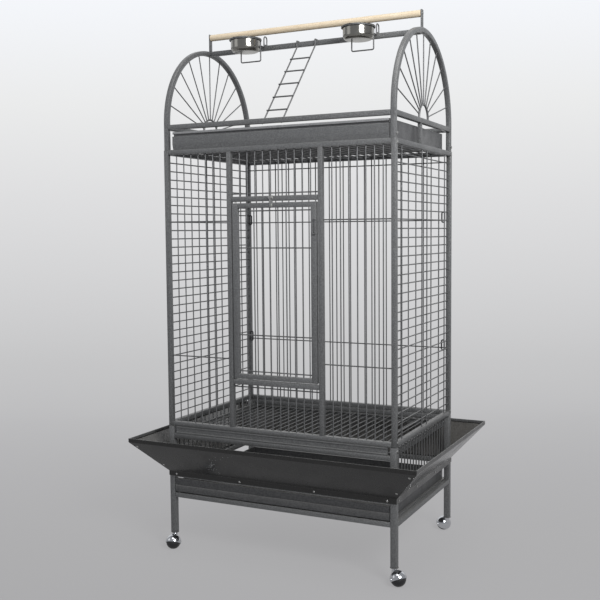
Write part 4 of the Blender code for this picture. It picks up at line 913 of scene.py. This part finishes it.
def add_arch_tube(shape, x):
    """The bent square tube with rounded edges, as rings of its section along its path."""
    path = [(Vector((x, -ARCH_RADIUS, CAGE_TOP + GAP)), Vector((0, -1, 0)))]
    for step in range(ARCH_STEPS + 1):
        angle = pi * step / ARCH_STEPS
        outward = Vector((0, -cos(angle), sin(angle)))
        path.append((Vector((x, 0, ARCH_MIDDLE)) + outward * ARCH_RADIUS, outward))
    path.append((Vector((x, ARCH_RADIUS, CAGE_TOP + GAP)), Vector((0, 1, 0))))
    half, cut = TUBE / 2, TUBE_CORNER
    section = []
    for start, across, out in ((0, 1, 1), (90, -1, 1), (180, -1, -1), (270, 1, -1)):
        for step in range(3):
            angle = radians(start + 45 * step)
            section.append((across * (half - cut) + cut * cos(angle), out * (half - cut) + cut * sin(angle)))
    rings = [[shape.verts.new(point + Vector((1, 0, 0)) * across + outward * out) for across, out in section]
             for point, outward in path]
    for below, above in zip(rings, rings[1:]):
        for number in range(len(section)):
            after = (number + 1) % len(section)
            shape.faces.new((below[number], below[after], above[after], above[number]))
    shape.faces.new(rings[0])
    shape.faces.new(rings[-1])


def spoke_reach(angle, rise, radius):
    """How far a spoke goes to a circle whose middle is higher than the fan's by rise."""
    return rise * cos(angle) + sqrt(radius ** 2 - (rise * sin(angle)) ** 2)


for side, sign in (("left", -1), ("right", 1)):
    x = sign * POST_X
    arch = bmesh.new()
    add_arch_tube(arch, x)
    add_square(arch, (x - TUBE / 2, -TUBE_IN_Y - RAIL_SUNK, RIM_LOW),
               (x + TUBE / 2, TUBE_IN_Y + RAIL_SUNK, RIM_TOP))
    add_square(arch, (x - STRUT_HALF, STRUT_Y - STRUT_HALF, CAGE_TOP + GAP),
               (x + STRUT_HALF, STRUT_Y + STRUT_HALF, RIM_LOW + WIRE_SUNK), 0.0012)
    add_piece(f"arch_tube_{side}", arch, tube_coat, "cage", f"arch_{side}", slot="hammered_coat")
    fan = bmesh.new()
    hub = [Vector((x, -HUB, RIM_TOP - WIRE_SUNK))]
    for step in range(21):
        angle = pi * step / 20
        hub.append(Vector((x, -HUB * cos(angle), RIM_TOP + HUB_RISE + HUB * sin(angle))))
    hub.append(Vector((x, HUB, RIM_TOP - WIRE_SUNK)))
    add_bent(fan, hub, HUB_WIRE, 12)
    for number in range(-5, 6):
        angle = radians(15 * number)
        near = spoke_reach(angle, HUB_RISE, HUB)
        far = spoke_reach(angle, ARCH_MIDDLE - RIM_TOP, TUBE_IN_Y + WIRE_SUNK)
        ends = [Vector((x, reach * sin(angle), RIM_TOP + reach * cos(angle))) for reach in (near, far)]
        add_round(fan, *ends, WIRE)
        for end in ends:
            add_weld(fan, end, SMALL_WELD)
    add_piece(f"fan_{side}", fan, wire_coat, "cage", slot="hammered_coat")


# Top rail and perch
# A square rail ties the arches together. Over it a wooden dowel is screwed between two flat posts on
# top of the arches.
rail = bmesh.new()
add_square(rail, *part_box("top_rail"))
add_piece("top_tube", rail, tube_coat, "cage", "top_rail", slot="hammered_coat")

def stretched(tree, scale):
    """Places on the object, stretched by a scale for each axis, to draw a texture out into lines."""
    made = tree.nodes.new("ShaderNodeMapping")
    made.inputs["Scale"].default_value = scale
    link(tree, tree.nodes.new("ShaderNodeTexCoord").outputs["Object"], made.inputs["Vector"])
    return made.outputs[0]


PERCH_SCREW_Z = 1.753
wood, wood_tree, wood_shader = plain_material("pale_wood", (0.68, 0.58, 0.43), 0.62, 0.0)
along_grain = stretched(wood_tree, (3.0, 60.0, 60.0))
grain = noise_at(wood_tree, along_grain, 6.0, 6.0, 0.6)
pores = noise_at(wood_tree, along_grain, 40.0, 2.0, 0.6)
pale = blend_colour(wood_tree, spread(wood_tree, grain, 0.0, 1.0), (0.74, 0.65, 0.50), (0.58, 0.46, 0.31))
pored = blend_colour(wood_tree, spread(wood_tree, pores, 0.0, 0.5, 0.55, 0.75), pale, (0.36, 0.26, 0.16))
link(wood_tree, pored, wood_shader.inputs["Base Color"])
link(wood_tree, spread(wood_tree, grain, 0.52, 0.74), wood_shader.inputs["Roughness"])
press(wood_tree, wood_shader, pores, 0.0002)

low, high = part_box("perch_dowel")
radius = (high.z - low.z) / 2
along = Matrix.Translation((0, 0, (low.z + high.z) / 2)) @ Matrix.Rotation(radians(90), 4, "Y")
dowel = bmesh.new()
half, edge = high.x, 0.0008
add_turned(dowel, [(0, -half), (radius - edge, -half), (radius, -half + edge), (radius, half - edge),
                   (radius - edge, half), (0, half)], 32, along)
add_piece("dowel", dowel, wood, "cage", "perch_dowel", slot="pale_wood")
for side, sign in (("left", -1), ("right", 1)):
    low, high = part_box(f"perch_post_{side}")
    post = bmesh.new()
    add_square(post, low, high, 0.0015)
    add_piece(f"perch_strip_{side}", post, tube_coat, "cage", f"perch_post_{side}", slot="hammered_coat")
    screw = bmesh.new()
    face = high.x if sign > 0 else low.x
    add_dome(screw, (face - sign * 0.0002, 0, PERCH_SCREW_Z), (sign, 0, 0), 0.0045, 0.0024)
    add_piece(f"perch_screw_{side}", screw, zinc, "cage", slot="zinc")


# Ladder
# Two 5 mm wires hook over the top rail and lean on the inside of the front rim rail, with five rungs
# welded across them.
LADDER, STAND_OFF = 0.0025, 0.0028
LADDER_LEFT, LADDER_RIGHT = -0.0455, 0.022
RUNGS, FIRST_RUNG, RUNG_PITCH = 5, 0.0646, 0.063
RAIL_MIDDLE, RAIL_HALF = 1.697, 0.008


def bend_path(points, bends, steps=5):
    """A 3D path with its inner corners rounded, one radius each; 0 keeps a corner."""
    path = [points[0]]
    for before, corner, after, bend in zip(points, points[1:], points[2:], bends):
        if bend == 0.0:
            path.append(corner)
            continue
        back, on = (before - corner).normalized(), (after - corner).normalized()
        half = back.angle(on) / 2
        centre = corner + (back + on).normalized() * (bend / sin(half))
        reach = bend / tan(half)
        first = (corner + back * reach - centre).normalized()
        last = (corner + on * reach - centre).normalized()
        path += [centre + first.slerp(last, step / steps) * bend for step in range(steps + 1)]
    return path + [points[-1]]


top = Vector((0, -(RAIL_HALF + STAND_OFF), RAIL_MIDDLE - 0.0115))
foot = Vector((0, -(TUBE_IN_Y - STAND_OFF), RIM_TOP - 0.0148))
slope = (foot - top).normalized()
outward = Vector((0, slope.z, -slope.y))
hook_z = RAIL_MIDDLE + RAIL_HALF + STAND_OFF
corners = [foot, top, Vector((0, top.y, hook_z)), Vector((0, -top.y, hook_z)),
           Vector((0, -top.y, RAIL_MIDDLE - 0.004))]
side_wire = bend_path(corners, [0.008, STAND_OFF, STAND_OFF])
ladder = bmesh.new()
for x in (LADDER_LEFT, LADDER_RIGHT):
    add_bent(ladder, [point + Vector((x, 0, 0)) for point in side_wire], LADDER, 12)
for number in range(RUNGS):
    middle = top + slope * (FIRST_RUNG + number * RUNG_PITCH) + outward * (1.5 * LADDER)
    add_round(ladder, middle + Vector((LADDER_LEFT - LADDER, 0, 0)),
              middle + Vector((LADDER_RIGHT + LADDER, 0, 0)), LADDER, 12)
add_piece("ladder_wires", ladder, wire_coat, "ladder", "ladder", slot="hammered_coat")


# Feeding bowls
# Pressed stainless bowls with a rolled rim hang in wire rings. Each ring's ends bend down into a
# brace, and two tall hooks with a cross wire in each hold it on the top rail.
BOWL_X = {"left": -0.209, "right": 0.203}
BOWL_OUT, RING, RING_WIRE, RING_OPEN = 0.072, 0.0528, 0.0022, 0.038
HOOK_Z = RAIL_MIDDLE + RAIL_HALF + RING_WIRE + GAP
RING_Z = HOOK_Z + 0.007
STEEL_GREY = (0.30, 0.293, 0.268)

steel, steel_tree, steel_shader = plain_material("stainless", STEEL_GREY, 0.16, 1.0)
lines = noise_at(steel_tree, stretched(steel_tree, (2.0, 2.0, 260.0)), 6.0, 3.0)
steel_marks = add_group(steel_tree, handling, Patch_Scale=45.0, Dust=0.25)
wear(steel_tree, steel_shader, steel_marks, STEEL_GREY, (0.22, 0.21, 0.19), 0.10, 0.26)
press(steel_tree, steel_shader, lines, 0.00006)

for side, x in BOWL_X.items():
    # The bowl's section goes up the inside from the middle, round the rolled rim and down the outside
    profile = [(0.0, -0.0410), (0.034, -0.0410), (0.0375, -0.0406)]
    for step in range(1, 10):
        angle = pi / 2 * (1 - step / 9)
        profile.append((0.0385 + 0.010 * cos(angle), -0.0255 - 0.0150 * sin(angle)))
    profile += [(0.0485, 0.0008), (0.0491, 0.0016), (0.0505, 0.0020), (0.0530, 0.0020), (0.0542, 0.0014),
                (0.0546, 0.0006), (0.0542, 0.0001), (0.0516, 0.0003), (0.0498, -0.0002), (0.0495, -0.004)]
    for step in range(10):
        angle = pi / 2 * step / 9
        profile.append((0.0385 + 0.011 * cos(angle), -0.026 - 0.0158 * sin(angle)))
    profile += [(0.034, -0.0420), (0.0, -0.0420)]
    bowl = bmesh.new()
    add_turned(bowl, profile, 48, Matrix.Translation((x, -BOWL_OUT, RING_Z + RING_WIRE + GAP)))
    add_piece(f"steel_bowl_{side}", bowl, steel, f"bowl_{side}", f"bowl_{side}", slot="stainless")

    open_angle = asin(RING_OPEN / RING)
    back_y = -BOWL_OUT + RING * cos(open_angle)
    low_z = RING_Z - 0.0655
    path = [Vector((x, back_y, low_z)), Vector((x + RING_OPEN, back_y, low_z))]
    for step in range(33):
        angle = open_angle + 2 * (pi - open_angle) * step / 32
        path.append(Vector((x + RING * sin(angle), -BOWL_OUT + RING * cos(angle), RING_Z)))
    path += [Vector((x - RING_OPEN, back_y, low_z)), Vector((x, back_y, low_z))]
    bends = [0.005, 0.005] + [0.0] * 31 + [0.005, 0.005]
    holder = bmesh.new()
    add_bent(holder, bend_path(path, bends)[:-1], RING_WIRE, 12, closed=True)
    rail_back = RAIL_HALF + RING_WIRE + GAP
    arm_z, crown_z = HOOK_Z - 0.0075, HOOK_Z + 0.028
    for hook_x in (x - RING_OPEN, x + RING_OPEN):
        turns = ((back_y, arm_z), (-rail_back, arm_z), (-rail_back, crown_z), (rail_back, crown_z),
                 (rail_back, HOOK_Z - 0.0165))
        points = [Vector((hook_x, y, z)) for y, z in turns]
        add_bent(holder, bend_path(points, [0.003, 0.009, 0.009]), RING_WIRE, 12)
        add_round(holder, (hook_x, -rail_back, HOOK_Z), (hook_x, rail_back, HOOK_Z), RING_WIRE)
    add_piece(f"ring_{side}", holder, wire_coat, "cage", f"bowl_holder_{side}", slot="hammered_coat")


# Studio
# A pale paper floor sweeps up behind the cage, darker near the camera and lighter up the wall. It is seen
# at a brightness of its own, while it lights the cage as the lamps light it. Soft lamps stand above and to
# both sides.
sweep = bmesh.new()
facing_turn = Matrix.Rotation(turned_by, 4, "Z")
outline = [(-4.0, 0.0), (2.2, 0.0)]
for step in range(1, 13):
    angle = pi / 2 * step / 12
    outline.append((2.2 + 1.6 * sin(angle), 1.6 * (1 - cos(angle))))
outline.append((3.8, 7.0))
lengths = [0.0]
for before, after in zip(outline, outline[1:]):
    lengths.append(lengths[-1] + (Vector(after) - Vector(before)).length)
rows = [[sweep.verts.new(facing_turn @ Vector((x, y, z))) for x in (-7.0, 7.0)] for y, z in outline]
along_layer = sweep.loops.layers.uv.new("along")
for number, (below, above) in enumerate(zip(rows, rows[1:])):
    face = sweep.faces.new((below[0], below[1], above[1], above[0]))
    for loop, place in zip(face.loops, (number, number, number + 1, number + 1)):
        loop[along_layer].uv = (0.5, lengths[place] / lengths[-1])
sweep_data = bpy.data.meshes.new("studio_sweep")
sweep.to_mesh(sweep_data)
sweep.free()
sweep_data.shade_smooth()
backdrop = bpy.data.objects.new("studio_sweep", sweep_data)
bpy.context.scene.collection.objects.link(backdrop)
paper, paper_tree, paper_shader = plain_material("studio_paper", (0.6, 0.6, 0.6), 0.9, 0.0)
paper_shader.inputs["Specular IOR Level"].default_value = 0.1
paper_run = paper_tree.nodes.new("ShaderNodeSeparateXYZ")
link(paper_tree, paper_tree.nodes.new("ShaderNodeTexCoord").outputs["UV"], paper_run.inputs[0])


def paper_ramp(stops):
    """A colour ramp along the sweep, from the floor's near end to the wall's top: lowest, highest, rest."""
    made = paper_tree.nodes.new("ShaderNodeValToRGB")
    elements = made.color_ramp.elements
    for number, (position, colour) in enumerate(stops):
        element = elements[number] if number < 2 else elements.new(position)
        element.position = position
        element.color = (*colour, 1)
    link(paper_tree, paper_run.outputs["Y"], made.inputs["Fac"])
    return made.outputs["Color"]


seen_by = paper_tree.nodes.new("ShaderNodeLightPath").outputs
seen = calculate(paper_tree, "MAXIMUM", seen_by["Is Camera Ray"], seen_by["Is Glossy Ray"])
seen = calculate(paper_tree, "MAXIMUM", seen, seen_by["Is Transmission Ray"])
lit_paper = paper_ramp([(0.25, (0.17, 0.17, 0.175)), (0.60, (0.60, 0.61, 0.62))])
paper_colour = blend_colour(paper_tree, seen, lit_paper, (0.07, 0.07, 0.07))
link(paper_tree, paper_colour, paper_shader.inputs["Base Color"])
glow = paper_ramp([(0.2458, (0.334, 0.332, 0.339)),
                   (0.7017, (0.860, 0.877, 0.91)),
                   (0.2824, (0.355, 0.353, 0.359)),
                   (0.3367, (0.385, 0.383, 0.391)),
                   (0.4257, (0.446, 0.445, 0.453)),
                   (0.4974, (0.515, 0.515, 0.521)),
                   (0.5966, (0.682, 0.682, 0.690)),
                   (0.6497, (0.781, 0.786, 0.788))])
link(paper_tree, glow, paper_shader.inputs["Emission Color"])
link(paper_tree, calculate(paper_tree, "MULTIPLY", seen, 1.01), paper_shader.inputs["Emission Strength"])
sweep_data.materials.append(paper)

world = bpy.data.worlds.new("studio_air")
bpy.context.scene.world = world
world.use_nodes = True
world.node_tree.nodes["Background"].inputs["Color"].default_value = (0.93, 0.95, 1.0, 1)
world.node_tree.nodes["Background"].inputs["Strength"].default_value = 0.40

for label, place, aim, size, energy in (("lamp_above", (0.4, -1.2, 4.2), (0, 0, 0.9), 2.6, 48.0),
                                        ("lamp_right", (2.1, -1.8, 2.1), (0, 0, 1.1), 1.1, 84.0),
                                        ("lamp_left", (-3.2, -2.6, 2.2), (0, 0, 0.8), 2.0, 8.0)):
    lamp_data = bpy.data.lights.new(label, "AREA")
    lamp_data.shape = "SQUARE"
    lamp_data.size = size
    lamp_data.energy = energy
    lamp = bpy.data.objects.new(label, lamp_data)
    bpy.context.scene.collection.objects.link(lamp)
    lamp.location = place
    lamp.rotation_euler = (Vector(aim) - Vector(place)).to_track_quat("-Z", "Y").to_euler()

bpy.context.scene.view_settings.view_transform = "Standard"
